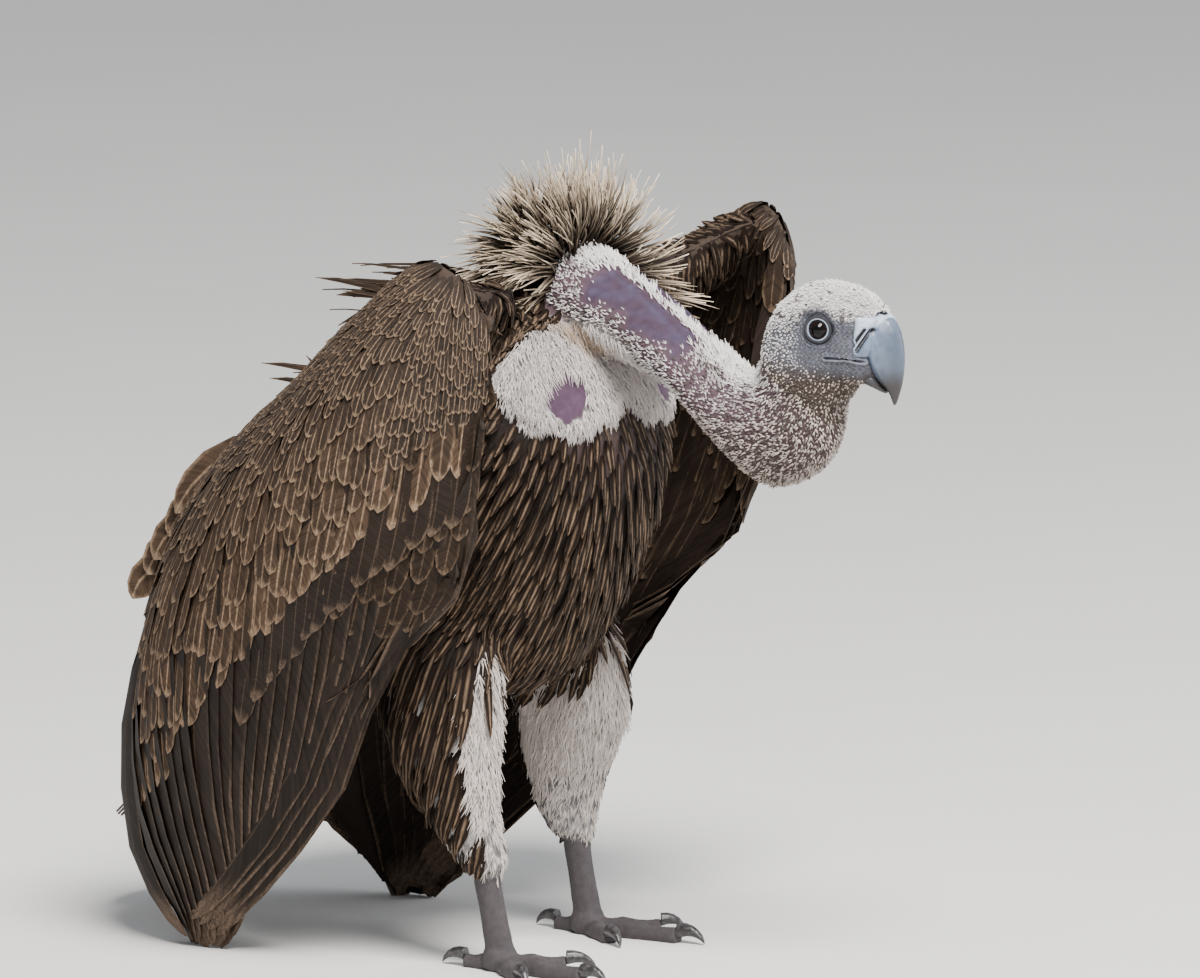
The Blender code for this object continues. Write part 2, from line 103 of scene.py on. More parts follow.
class VultureSizes(bpy.types.PropertyGroup):
    skin_grain: size("Skin grain", "Face size of the skin before it is thinned", 0.0021)
    skin_faces: number("Skin triangles", "Triangles kept on the feathered parts", 30500)
    covert_width: size("Covert width", "Width of the widest wing coverts", 0.0185)
    flight_count: number("Flight feathers", "Flight feathers in each wing", 24)
    breast_length: size("Breast feather length", "Length of the pointed feathers", 0.052)
    ruff_count: number("Ruff feathers", "Stiff feathers in the ruff", 1750)
    down_length: size("Down length", "Length of the leg and crop down", 0.013)


class VultureColours(bpy.types.PropertyGroup):
    covert: tint("Covert", "Middle of a wing covert", (0.050, 0.032, 0.021))
    covert_grey: tint("Small covert", "Middle of the small coverts near the wrist",
                      (0.026, 0.019, 0.015))
    covert_rim: tint("Covert rim", "Pale edge and shaft of a covert", (0.36, 0.245, 0.160))
    flight: tint("Flight feather", "Wing quills and tail", (0.017, 0.0112, 0.0082))
    flight_rim: tint("Flight rim", "Worn edge of a quill", (0.18, 0.122, 0.084))
    breast: tint("Breast", "Dark of the breast feathers", (0.0095, 0.0050, 0.0030))
    breast_streak: tint("Breast streak", "Pale shaft streak of the breast",
                        (0.215, 0.145, 0.095))
    ruff_base: tint("Ruff base", "Dark base of the ruff", (0.012, 0.0065, 0.004))
    ruff_tip: tint("Ruff tip", "Cream tip of the ruff", (0.84, 0.68, 0.50))
    down: tint("Down", "White down of crop, legs and nape", (0.82, 0.79, 0.77))
    down_brown: tint("Dark down", "Brown down of the throat", (0.045, 0.028, 0.020))
    mauve: tint("Bare skin", "Bare mauve skin of the neck and crop", (0.056, 0.031, 0.054))
    fold: tint("Crop fold", "Tan skin of the crease under the neck", (0.36, 0.235, 0.135))
    face: tint("Face", "Blue-grey skin round the eye", (0.125, 0.132, 0.165))
    throat: tint("Throat", "Brown skin of the throat", (0.060, 0.040, 0.030))
    bill: tint("Bill", "Blue-grey horn", (0.125, 0.165, 0.235))
    cere: tint("Cere", "Pale cere over the nostrils", (0.46, 0.54, 0.66))
    bill_tip: tint("Bill tip", "Brown horn of the hook", (0.020, 0.015, 0.012))
    leg: tint("Leg", "Scales of shank and toes", (0.075, 0.066, 0.070))
    claw: tint("Claw", "Horn of the claws", (0.022, 0.020, 0.021))


class VultureStudio(bpy.types.PropertyGroup):
    azimuth: bpy.props.FloatProperty(
        name="Azimuth", description="Camera's bearing from the bird's front, to its left",
        default=math.radians(-54), subtype="ANGLE")
    elevation: bpy.props.FloatProperty(
        name="Elevation", description="Camera's height angle",
        default=math.radians(8.5), subtype="ANGLE")
    distance: size("Distance", "From the aim point to the camera", 11.0)
    lens: number("Focal length", "For a sensor 36 mm wide", 435.6)
    aim: bpy.props.FloatVectorProperty(
        name="Aim", description="Point in the middle of the view",
        default=(MID + 0.0101, -0.0741, 0.3604), subtype="TRANSLATION")
    key: number("Key light", "Power of the main soft light", 820.0)
    fill: number("Fill light", "Power of the front fill", 200.0)
    sky: number("Sky", "Strength of the even light all round", 0.5)


def sizes():
    return bpy.context.scene.vulture_sizes


def hue(name, shade=1.0):
    """One of the user's colours, made darker or lighter by shade."""
    return np.array(getattr(bpy.context.scene.vulture_colours, name)) * shade


# ---------------------------------------------------------------- numbers and vectors
def unit(vectors):
    return vectors / np.maximum(np.linalg.norm(vectors, axis=-1, keepdims=True), 1e-9)


def rise(low, high, values):
    """0 below low, 1 above high, smooth between."""
    t = np.clip((values - low) / (high - low), 0.0, 1.0)
    return t * t * (3 - 2 * t)


def fall(low, high, values):
    return 1 - rise(low, high, values)


def mix(low, high, share):
    return low + (np.asarray(high) - low) * np.asarray(share)[..., None]


def distance_to_line(places, start, end):
    """Distance of each place from the straight piece between two points."""
    start = np.array(start)
    along = np.array(end) - start
    t = np.clip((places - start) @ along / (along @ along), 0.0, 1.0)
    return np.linalg.norm(places - start - t[:, None] * along, axis=1)


def mirrored(point, sign):
    """A point given for the bird's left side, moved to the side with that sign."""
    return np.array((MID + sign * (point[0] - MID), point[1], point[2]))


def folded(places):
    """Places with x as the distance from the bird's plane of symmetry."""
    return np.stack([np.abs(places[:, 0] - MID), places[:, 1], places[:, 2]], axis=1)


# ---------------------------------------------------------------- mesh helpers
def select_only(body):
    for other in bpy.context.selected_objects:
        other.select_set(False)
    body.select_set(True)
    bpy.context.view_layer.objects.active = body


def new_primitive(kind, **values):
    """A primitive with its place, turn and scale moved into its mesh."""
    getattr(bpy.ops.mesh, f"primitive_{kind}_add")(**values)
    bpy.ops.object.transform_apply(location=True, rotation=True, scale=True)
    return bpy.context.view_layer.objects.active


def add_object(name, data):
    body = bpy.data.objects.new(name, data)
    bpy.context.scene.collection.objects.link(body)
    return body


def copy_nodes(name, nodes, swell=0.0):
    """One object from copies of CAD nodes, merged, and swollen along their normals."""
    mesh = bmesh.new()
    for node in nodes:
        mesh.from_mesh(NODES[node].data)
    bmesh.ops.remove_doubles(mesh, verts=mesh.verts, dist=0.00002)
    mesh.normal_update()
    places = [vert.co + vert.normal * swell for vert in mesh.verts]
    for vert, place in zip(mesh.verts, places):
        vert.co = place
    data = bpy.data.meshes.new(name)
    mesh.to_mesh(data)
    mesh.free()
    return add_object(name, data)


def apply_modifier(body, kind, **values):
    select_only(body)
    change = body.modifiers.new("change", kind)
    for name, value in values.items():
        setattr(change, name, value)
    bpy.ops.object.modifier_apply(modifier=change.name)


def regrow(body, grain, rounds):
    """An even mesh of one closed surface, with its facets eased away."""
    apply_modifier(body, "REMESH", mode="VOXEL", voxel_size=grain)
    ease(body, rounds)


def ease(body, rounds):
    apply_modifier(body, "SMOOTH", factor=0.5, iterations=rounds)


def drop_object(body):
    data = body.data
    bpy.data.objects.remove(body, do_unlink=True)
    bpy.data.meshes.remove(data)


def patches_of(form):
    """The connected patches of faces of a form."""
    left = set(form.faces)
    while left:
        patch = [left.pop()]
        for face in patch:
            near = {other for edge in face.edges for other in edge.link_faces} & left
            left -= near
            patch.extend(near)
        yield patch


def mend(body):
    """Leaves one closed surface: no specks, no fins and no loose edges."""
    form = bmesh.new()
    form.from_mesh(body.data)
    bmesh.ops.dissolve_degenerate(form, dist=1e-6, edges=form.edges[:])
    for _ in range(MEND_ROUNDS):
        fins = {face for edge in form.edges if len(edge.link_faces) == 1
                for face in edge.link_faces
                if any(len(other.link_faces) > 2 for other in face.edges)}
        if not fins:
            break
        bmesh.ops.delete(form, geom=list(fins), context="FACES")
    loose = [edge for edge in form.edges if not edge.link_faces]
    bmesh.ops.delete(form, geom=loose, context="EDGES")
    rims = [edge for edge in form.edges if len(edge.link_faces) == 1]
    bmesh.ops.holes_fill(form, edges=rims, sides=0)
    bmesh.ops.triangulate(form, faces=[face for face in form.faces if len(face.verts) > 4])
    specks = [face for patch in patches_of(form) if len(patch) < SPECK for face in patch]
    bmesh.ops.delete(form, geom=specks, context="FACES")
    form.to_mesh(body.data)
    form.free()


def grow_onto(body, limb):
    """Union of two closed meshes, kept in the first."""
    before = len(body.data.polygons)
    for solver in ("MANIFOLD", "EXACT"):
        if len(body.data.polygons) == before:
            apply_modifier(body, "BOOLEAN", operation="UNION", solver=solver, object=limb)
    if len(body.data.polygons) == before:
        raise RuntimeError(f"{limb.name} did not join {body.name}")
    drop_object(limb)


def dress(body, material, slot, *nodes):
    """The only material of a piece, its body and the nodes it stands for; the slot is not used."""
    body.data.shade_smooth()
    body.data.materials.clear()
    body.data.materials.append(material)
    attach(body, BODY)
    if nodes:
        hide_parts(*nodes)


def points_of(mesh):
    places = np.empty(len(mesh.vertices) * 3)
    mesh.vertices.foreach_get("co", places)
    return places.reshape(-1, 3)


def normals_of(mesh):
    normals = np.empty(len(mesh.vertices) * 3, np.float32)
    mesh.vertex_normals.foreach_get("vector", normals)
    return normals.reshape(-1, 3).astype(float)


def triangles_of(mesh, ends="vertices"):
    """The three vertices, or the three loops, of each triangle."""
    mesh.calc_loop_triangles()
    corners = np.empty(len(mesh.loop_triangles) * 3, np.int32)
    mesh.loop_triangles.foreach_get(ends, corners)
    return corners.reshape(-1, 3)


def set_points(mesh, places):
    mesh.vertices.foreach_set("co", places.astype(np.float32).ravel())
    mesh.update()


def set_values(mesh, name, values):
    """A number at each vertex that a material can read."""
    attribute = mesh.attributes.new(name, "FLOAT", "POINT")
    attribute.data.foreach_set("value", values.astype(np.float32))


def set_paint(mesh, values):
    """The colour at each vertex that a painted material reads."""
    attribute = mesh.attributes.new("paint", "FLOAT_COLOR", "POINT")
    rgba = np.concatenate([values, np.ones((len(values), 1))], axis=1)
    attribute.data.foreach_set("color", rgba.astype(np.float32).ravel())


def spread_values(mesh, values, rounds):
    """Values at the vertices, evened out along the edges."""
    pairs = np.empty(len(mesh.edges) * 2, np.int32)
    mesh.edges.foreach_get("vertices", pairs)
    pairs = pairs.reshape(-1, 2)
    ends = np.concatenate([pairs[:, 0], pairs[:, 1]])
    others = np.concatenate([pairs[:, 1], pairs[:, 0]])
    degree = np.bincount(ends, minlength=len(values))
    for _ in range(rounds):
        total = np.bincount(ends, weights=values[others], minlength=len(values))
        values = 0.5 * values + 0.5 * total / np.maximum(degree, 1)
    return values


def tree_of(mesh):
    places = [vert.co.copy() for vert in mesh.vertices]
    return BVHTree.FromPolygons(places, [tuple(face.vertices) for face in mesh.polygons])


# ---------------------------------------------------------------- lie of the neck
def node_middle(name):
    return points_of(NODES[name].data).mean(axis=0)


def junction(name, neighbour, reach=0.003):
    """Middle of the face where one node meets another."""
    tree = tree_of(NODES[neighbour].data)
    return np.mean([np.array(vert.co) for vert in NODES[name].data.vertices
                    if tree.find_nearest(vert.co, reach)[0] is not None], axis=0)


NECK_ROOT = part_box("neck_lower")[1] - Vector((0.0, 0.024, 0.041))
NECK_LINE = np.array([
    NECK_ROOT, node_middle("neck_lower"),
    junction("neck_lower", "neck_upper"), node_middle("neck_upper"),
    junction("head", "neck_upper"), node_middle("head")])
NECK_LINE[:, 0] = MID
HEAD_RUN = np.linalg.norm(np.diff(NECK_LINE, axis=0), axis=1)[:-1].sum()


def neck_frame(places):
    """Distance down the neck's line, angle round it from the nape, and way to the trunk."""
    best = np.full(len(places), 9.0)
    run = np.zeros(len(places))
    angle = np.zeros(len(places))
    ways = np.zeros((len(places), 3))
    passed = 0.0
    for start, end in zip(NECK_LINE, NECK_LINE[1:]):
        step = end - start
        length = np.linalg.norm(step)
        heading = step / length
        nape = np.cross(heading, (1.0, 0.0, 0.0))
        t = np.clip((places - start) @ heading / length, 0.0, 1.0)
        offset = places - start - t[:, None] * step
        away = np.linalg.norm(offset, axis=1)
        nearer = away < best
        best[nearer] = away[nearer]
        run[nearer] = (passed + t * length)[nearer]
        angle[nearer] = np.arctan2(np.abs(offset[:, 0]), offset @ nape)[nearer]
        ways[nearer] = -heading
        passed += length
    return run, angle, ways


def along_neck(places):
    return neck_frame(places)[:2]


# ---------------------------------------------------------------- laying out the coat
def scatter(mesh, wanted, spacing, stretch=(1.0, 1.0, 1.0), seed=1):
    """Roots spread over a mesh where wanted, each keeping its own spacing from the rest.

    spacing is one distance or a function of the places. stretch squeezes the measure of
    distance per axis, so that rows can lie further apart along the feathers than across.
    """
    def gaps(spots):
        return spacing(spots) if callable(spacing) else np.full(len(spots), spacing)

    rng = np.random.default_rng(seed)
    places = points_of(mesh)[triangles_of(mesh)]
    cross = np.cross(places[:, 1] - places[:, 0], places[:, 2] - places[:, 0])
    area = np.linalg.norm(cross, axis=1) / 2
    chosen = wanted(places.mean(axis=1), unit(cross)) & (area > 0)
    places = places[chosen]
    area = area[chosen]
    cells = area * np.prod(stretch) / gaps(places.mean(axis=1)) ** 2
    count = int(cells.sum() * 7)
    picks = rng.choice(len(area), size=count, p=cells / cells.sum())
    first, second = rng.random((2, count, 1))
    flip = first + second > 1
    first = np.where(flip, 1 - first, first)
    second = np.where(flip, 1 - second, second)
    spots = places[picks, 0] * (1 - first - second) + places[picks, 1] * first \
        + places[picks, 2] * second
    scaled = spots * np.array(stretch)
    near = KDTree(count)
    for index, spot in enumerate(scaled):
        near.insert(spot, index)
    near.balance()
    reach = gaps(spots)
    taken = np.zeros(count, bool)
    kept = []
    for index in range(count):
        if not taken[index]:
            kept.append(index)
            for _, other, _ in near.find_range(scaled[index], reach[index]):
                taken[other] = True
    return spots[kept]


def comb(tree, roots, lie, lengths, marks, lift, base=0.0006, hold=0.5, cling=0.6):
    """Shafts that leave their roots and follow the coat's lie over a form.

    marks are the shares of a shaft's length where it has a point, and lift is the height
    of each tip over the form. A shaft leaves the form where that falls away by more than
    cling steps. Returns the shafts' points and the form's normals there.
    """
    shafts = np.zeros((len(roots), len(marks), 3))
    ups = np.zeros_like(shafts)
    lengths = np.broadcast_to(lengths, len(roots))
    lift = np.broadcast_to(lift, len(roots))
    for index, root in enumerate(roots):
        spot, normal, _, _ = tree.find_nearest(Vector(root))
        way = lie(spot, normal)
        way = (way - normal * way.dot(normal)).normalized()
        previous = 0.0
        for row, mark in enumerate(marks):
            step = (mark - previous) * lengths[index]
            previous = mark
            if step > 0:
                free = spot + way * step
                near, turned, _, away = tree.find_nearest(free)
                if away < cling * step + 0.0005:
                    spot = near
                    normal = (normal + turned).normalized()
                else:
                    spot = free
                wish = way * hold + lie(spot, normal).normalized() * (1 - hold)
                way = (wish - normal * wish.dot(normal)).normalized()
            shafts[index, row] = spot + normal * (base + lift[index] * mark)
            ups[index, row] = normal
    return shafts, ups


# Outlines of a vane: (share of the length, share of the half width)
COVERT_SHAPE = np.array([(0.0, 0.30), (0.22, 0.80), (0.5, 1.0), (0.72, 0.96), (0.86, 0.76),
                         (0.95, 0.42), (1.0, 0.05)])
SCALE_SHAPE = np.array([(0.0, 0.4), (0.35, 0.95), (0.70, 1.0), (0.90, 0.68), (1.0, 0.14)])
QUILL_SHAPE = np.array([(0.0, 0.22), (0.10, 0.62), (0.25, 0.9), (0.42, 1.0), (0.60, 1.0),
                        (0.76, 0.97), (0.88, 0.86), (0.95, 0.62), (0.985, 0.34), (1.0, 0.08)])
LANCE_SHAPE = np.array([(0.0, 0.35), (0.30, 0.90), (0.58, 1.0), (0.84, 0.62), (1.0, 0.06)])
BRISTLE_SHAPE = np.array([(0.0, 0.7), (0.2, 1.0), (0.4, 0.86), (0.6, 0.58), (0.8, 0.30),
                          (1.0, 0.03)])
DOWN_SHAPE = np.array([(0.0, 0.8), (0.5, 1.0), (1.0, 0.10)])


def vanes(shafts, ups, widths, shape, thickness=0.0004, camber=0.16, lean=0.0):
    """Closed thin leaves along shafts, as points, faces, UV and the shaft of each point.

    camber drops the edges below the shaft as a share of the width, and lean turns each leaf
    about its shaft, so that neighbours overlap like shingles.
    """
    count, rows, _ = shafts.shape
    marks, outline = shape.T
    heading = unit(np.gradient(shafts, axis=1))
    side = unit(np.cross(heading, ups))
    up = np.cross(side, heading)
    tilt = np.broadcast_to(np.asarray(lean, float).reshape(-1, 1, 1), (count, 1, 1))
    side, up = side * np.cos(tilt) + up * np.sin(tilt), up * np.cos(tilt) - side * np.sin(tilt)
    half = (np.broadcast_to(widths, count)[:, None] / 2 * outline)[..., None]
    drop = camber * half
    body = np.stack([shafts - side * half - up * drop, shafts + up * thickness,
                     shafts + side * half - up * drop, shafts - up * (drop * 0.35 + thickness)],
                    axis=2)
    across = np.broadcast_to(np.array([0.0, 0.5, 1.0, 0.5]), (count, rows, 4))
    down = np.broadcast_to(marks[None, :, None], (count, rows, 4))
    start = np.arange(count)[:, None, None] * rows * 4
    row = np.arange(rows - 1)[None, :, None] * 4
    turn = np.arange(4)[None, None, :]
    after = (turn + 1) % 4
    walls = np.stack([start + row + turn, start + row + after, start + row + 4 + after,
                      start + row + 4 + turn], axis=-1).reshape(-1, 4)
    first = start[:, :, 0] + np.array([0, 3, 2, 1])
    last = start[:, :, 0] + (rows - 1) * 4 + np.array([0, 1, 2, 3])
    return {
        "points": body.reshape(-1, 3),
        "faces": np.concatenate([walls, first, last]),
        "uv": np.stack([across, down], axis=-1).reshape(-1, 2),
        "owner": np.repeat(np.arange(count), rows * 4),
        "roots": shafts[:, 0],
    }


def tufts(roots, ups, ways, lengths, widths, blades, stand, fan, seed, curl=0.35):
    """Small bunches of curved blades that stand up from their roots and bend with the lie."""
    rng = np.random.default_rng(seed)
    count = len(roots) * blades
    roots, ups, ways = (np.repeat(each, blades, axis=0) for each in (roots, ups, ways))
    lengths = np.repeat(lengths, blades) * rng.uniform(0.7, 1.15, count)
    ways = unit(ways - ups * (ways * ups).sum(axis=1, keepdims=True))
    sides = np.cross(ups, ways)
    spread = rng.uniform(-fan, fan, (count, 1))
    height = stand * rng.uniform(0.6, 1.4, (count, 1))
    flat = ways * np.cos(spread) + sides * np.sin(spread)
    start = flat * np.cos(height) + ups * np.sin(height)
    marks = DOWN_SHAPE[None, :, :1]
    run = lengths[:, None, None] * marks
    bend = unit(ways - ups * 0.6)[:, None] * curl * lengths[:, None, None] * marks ** 2
    jitter = sides * rng.uniform(-0.12, 0.12, (count, 1)) * lengths[:, None]
    shafts = roots[:, None] + start[:, None] * run + bend + (jitter[:, None] * marks ** 2)
    facing = unit(ups + flat * 0.2)[:, None] + np.zeros_like(shafts)
    made = vanes(shafts, facing, np.repeat(widths, blades), DOWN_SHAPE, thickness=0.00025,
                 camber=0.4)
    made["owner"] = made["owner"] // blades
    made["roots"] = roots[::blades]
    return made


def leaves(tree, roots, lie, shape, lengths, lift, widths, lean=0.0, **hold):
    """Vanes of one shape laid over a form from their roots."""
    shafts, ups = comb(tree, roots, lie, lengths, shape[:, 0], lift, **hold)
    return vanes(shafts, ups, widths, shape, lean=lean)


def part(made, rng, zone=0.0):
    """Feathers as coat_object takes them, each with a random tone of its own."""
    return made, rng.random(len(made["roots"])), zone


PATCH = 0.003           # side of one feather's patch on the OFBake map


def coat_object(name, parts, material, slot, skin, *nodes):
    """One mesh from vanes and tufts, given as (made, tone, zone) with a value per root.

    zone is a number that the material reads, or a colour where the piece is painted. The
    OFBake map holds a small patch per feather, at its root's place on the skin's unwrap.
    """
    rows = []
    offset = 0
    for made, tone, zone in parts:
        owner = made["owner"]
        count = len(made["roots"])
        zone = np.asarray(zone, float)
        paint = zone if zone.ndim == 2 else np.zeros((count, 3))
        zone = np.zeros(count) if zone.ndim == 2 else np.broadcast_to(zone, count)
        patch = skin.unwrap(made["roots"])[owner] + (made["uv"] - 0.5) * PATCH
        rows.append((made["points"], made["faces"] + offset, made["uv"], patch, tone[owner],
                     zone[owner], paint[owner]))
        offset += len(made["points"])
    points, faces, maps, patches, tones, zones, paints = map(np.concatenate, zip(*rows))
    data = bpy.data.meshes.new(name)
    data.vertices.add(len(points))
    data.vertices.foreach_set("co", points.astype(np.float32).ravel())
    data.loops.add(faces.size)
    data.loops.foreach_set("vertex_index", faces.astype(np.int32).ravel())
    data.polygons.add(len(faces))
    data.polygons.foreach_set("loop_start", np.arange(0, faces.size, 4, dtype=np.int32))
    data.update(calc_edges=True)
    for layer, values in (("OFBake", patches), ("Vane", maps)):
        flat = values[faces.ravel()]
        data.uv_layers.new(name=layer).uv.foreach_set("vector", flat.astype(np.float32).ravel())
    set_values(data, "tone", tones)
    set_values(data, "zone", zones)
    set_paint(data, paints)
    body = add_object(name, data)
    dress(body, material, slot, *nodes)
    data.set_sharp_from_angle(angle=math.radians(62))


def lay_down(skin, name, rng, roots, shade, *look, **bend):
    """Painted down over roots; look and bend are what tufts takes after the roots' normals."""
    made = tufts(*skin.settle(roots), *look, **bend)
    coat_object(name, [(made, rng.random(len(roots)), shade)], down_material(), "white_down",
                skin)


# ---------------------------------------------------------------- markings
CROP_LOBE = (MID + 0.050, -0.088, 0.456)        # left white lobe over the crop
CROP_HALF = (0.060, 0.050, 0.043)
CROP_BARE = (MID + 0.061, -0.098, 0.443)        # mauve patch in the middle of the lobe
CROP_BARE_SIZE = 0.0230
CROP_FOLD = ((0.046, -0.066, 0.500), (0.016, -0.114, 0.468))    # tan crease under the neck
MAUVE_RUN = 0.125       # how far the bare skin runs down the neck
GAPE = [(0.0275, -0.3085, 0.4840), (0.0235, -0.3245, 0.4845), (0.0165, -0.3405, 0.4815)]


def crop_share(places):
    """How much each place lies in the white lobes over the crop."""
    inside = np.zeros(len(places))
    for sign in SIDES.values():
        away = np.linalg.norm((places - mirrored(CROP_LOBE, sign)) / np.array(CROP_HALF), axis=1)
        away = away + 0.07 * np.sin(places[:, 0] * 170 * sign + 1) * np.cos(places[:, 2] * 150)
        inside = np.maximum(inside, fall(0.85, 1.1, away))
    return inside


def crop_bare_share(places):
    bare = np.zeros(len(places))
    for sign in SIDES.values():
        away = np.linalg.norm(places - mirrored(CROP_BARE, sign), axis=1)
        away = away + 0.003 * np.sin(places[:, 0] * 420) * np.cos(places[:, 2] * 380)
        bare = np.maximum(bare, fall(CROP_BARE_SIZE - 0.004, CROP_BARE_SIZE, away))
    return bare


def mauve_share(run, angle):
    """How bare the neck is: a patch on each side of the nape line, near the ruff."""
    wave = 0.10 * np.sin(run * 140) + 0.06 * np.sin(run * 310 + 1)
    side = rise(0.12, 0.34, angle) * fall(1.02, 1.28, angle + wave)
    return side * (rise(0.016, 0.030, run) * fall(MAUVE_RUN - 0.022, MAUVE_RUN, run))


def eye_frame(places):
    """Distance from the eye's axis, distance out along it, and bearing round it."""
    off = folded(places) - np.array((EYE_OUT, EYES["left"].y, EYES["left"].z))
    out = off[:, 0] * math.cos(EYE_TURN) - off[:, 1] * math.sin(EYE_TURN)
    fore = off[:, 0] * math.sin(EYE_TURN) + off[:, 1] * math.cos(EYE_TURN)
    return np.hypot(fore, off[:, 2]), out, np.arctan2(off[:, 2], fore)


def eye_axis(sign):
    return Vector((sign * math.cos(EYE_TURN), -math.sin(EYE_TURN), 0.0))


def eye_away(places):
    return np.minimum(*[np.linalg.norm(places - np.array(eye), axis=1) for eye in EYES.values()])


def gape_away(apart):
    return np.minimum(distance_to_line(apart, *GAPE[:2]), distance_to_line(apart, *GAPE[1:]))


def face_share(places):
    """Blue-grey face: round the eye, the lores and the cheek behind the gape."""
    apart = folded(places)
    near_eye = fall(0.013, 0.021, eye_away(places))
    lores = distance_to_line(apart, (0.024, -0.309, 0.500), (0.020, -0.334, 0.499))
    cheek = distance_to_line(apart, (0.026, -0.298, 0.488), (0.022, -0.330, 0.481))
    return np.maximum(np.maximum(near_eye, fall(0.009, 0.016, lores)),
                      fall(0.008, 0.018, cheek) * 0.9)


def head_colour(places):
    """Throat, face and crown, with the pale ring and painted shade round the eye, and the gape
    painted dark as shade in its groove.
    """
    head = mix(hue("throat", 0.9), hue("face", 0.9), rise(0.462, 0.486, places[:, 2]))
    head = mix(head, hue("down", 0.62), rise(0.508, 0.524, places[:, 2]))
    speck = 0.80 + 0.28 * np.sin(places[:, 1] * 1500 + 3 * np.sin(places[:, 2] * 900))
    head = mix(head, hue("face") * speck[:, None], face_share(places))
    apart = folded(places)
    around, out, _ = eye_frame(places)
    beside = out > 0
    # Painted shade: the skin darkens in the socket round the eye, out to about 14 mm from its axis.
    head = mix(head, hue("face", 0.26), beside * fall(0.0104, 0.0145, around) * 0.9)
    head = mix(head, hue("cere", 0.75), beside * fall(0.0083, 0.0088, around))
    gape = gape_away(apart)
    lip = 1.1 + 0.6 * rise(0.302, 0.320, -apart[:, 1])
    head = mix(head, hue("face") * lip[:, None], fall(0.0016, 0.0030, gape))
    # Painted shade: the gape line is painted near-black in the groove that carve_face cuts there.
    return mix(head, hue("bill_tip", 0.2), fall(0.0006, 0.0011, gape))


def skin_colour(places):
    """Colour of the bare skin at each place."""
    run, angle = along_neck(places)
    winged = rise(0.10, 0.14, np.abs(places[:, 0])) * (places[:, 2] > 0.005)
    base = mix(hue("breast", 1.2), hue("covert"), winged)
    base = mix(base, hue("flight", 1.5), winged * fall(0.375, 0.395, climb(places)))
    neck = mix(hue("mauve", 1.1) + hue("throat", 0.60), hue("throat"),
               rise(1.3, 2.4, angle) * 0.8)
    blotch = 0.5 + 0.5 * np.sin(run * 150 + 2 * np.sin(angle * 6)) * np.sin(angle * 7 + run * 90)
    mauve = mix(hue("mauve"), hue("mauve", (1.2, 1.7, 1.8)), blotch)
    neck = mix(neck, mauve, mauve_share(run, angle))
    on_neck = ((places[:, 1] < -0.062) & (places[:, 2] > 0.365)
               & (np.abs(places[:, 0] - MID) < 0.055)).astype(float)
    colour = mix(mix(base, neck, on_neck), head_colour(places),
                 rise(HEAD_RUN - 0.012, HEAD_RUN + 0.004, run) * on_neck)
    patch = mix(hue("mauve", 1.25), hue("mauve", 2.2), blotch)
    crop = mix(hue("down", 0.55) + np.zeros_like(places), patch, crop_bare_share(places))
    colour = mix(colour, crop, crop_share(places) * (places[:, 1] < -0.02))
    leg = mix(colour, hue("down", 0.5), fall(0.20, 0.23, places[:, 2]))
    limb = (np.abs(places[:, 0] - MID) < LEG_REACH) & (places[:, 1] < 0.10)
    colour = np.where((limb & (places[:, 2] < 0.24) & (places[:, 1] < 0.06))[:, None], leg, colour)
    return mix(colour, hue("leg"), limb * fall(0.070, 0.084, places[:, 2]))


# ---------------------------------------------------------------- skin
class Skin:
    """The finished skin with what is needed to root feathers on it."""

    def __init__(self, body):
        mesh = body.data
        self.mesh = mesh
        self.tree = tree_of(mesh)
        flat = np.empty(len(mesh.loops) * 2, np.float32)
        mesh.uv_layers["OFBake"].uv.foreach_get("vector", flat)
        middles = points_of(mesh)[triangles_of(mesh)].mean(axis=1)
        self.parts = nearest_parts(middles)
        self.maps = flat.reshape(-1, 2)[triangles_of(mesh, "loops")].mean(axis=1)
        self.near = KDTree(len(middles))
        for index, middle in enumerate(middles):
            self.near.insert(middle, index)
        self.near.balance()

    def unwrap(self, roots):
        """Place of each root on the skin's own unwrap."""
        return self.maps[[self.near.find(root)[1] for root in roots]]

    def settle(self, roots):
        """Nearest places on the skin and the normals there."""
        found = [self.tree.find_nearest(Vector(root)) for root in roots]
        return np.array([spot for spot, *_ in found]), np.array([up for _, up, *_ in found])


MADE = {}               # the finished skin, once its operator has run


def nearest_parts(places):
    """Name, without its side, of the flesh node that lies nearest to each place."""
    corners = []
    owners = []
    vertices = []
    for node in FLESH:
        start = len(vertices)
        vertices.extend(vert.co.copy() for vert in NODES[node].data.vertices)
        for face in NODES[node].data.polygons:
            corners.append([start + index for index in face.vertices])
            owners.append(node.removesuffix("_right").removesuffix("_left"))
    tree = BVHTree.FromPolygons(vertices, corners)
    return np.array([owners[tree.find_nearest(Vector(place))[2]] for place in places])


def coat_depths(mesh):
    """Depth of the coat over each vertex of the outline, from the part it belongs to."""
    places = points_of(mesh)
    depths = np.array([COAT_DEPTH.get(part, COAT_DEPTH["trunk"])
                       for part in nearest_parts(places)])
    hock = fall(0.080, 0.130, places[:, 2]) * (places[:, 2] < 0.2)
    depths = depths + (0.0026 - depths) * hock
    depths = depths + (0.0035 - depths) * crop_share(places) * (places[:, 1] < -0.03)
    depths = depths + 0.0012 * fall(-0.3345, -0.3315, places[:, 1])
    return spread_values(mesh, depths, 12)


def sink(body, depths, steps=4):
    """Moves a surface in along its normals, a little at a time so that it stays clean."""
    for _ in range(steps):
        places = points_of(body.data) - normals_of(body.data) * (depths / steps)[:, None]
        set_points(body.data, places)


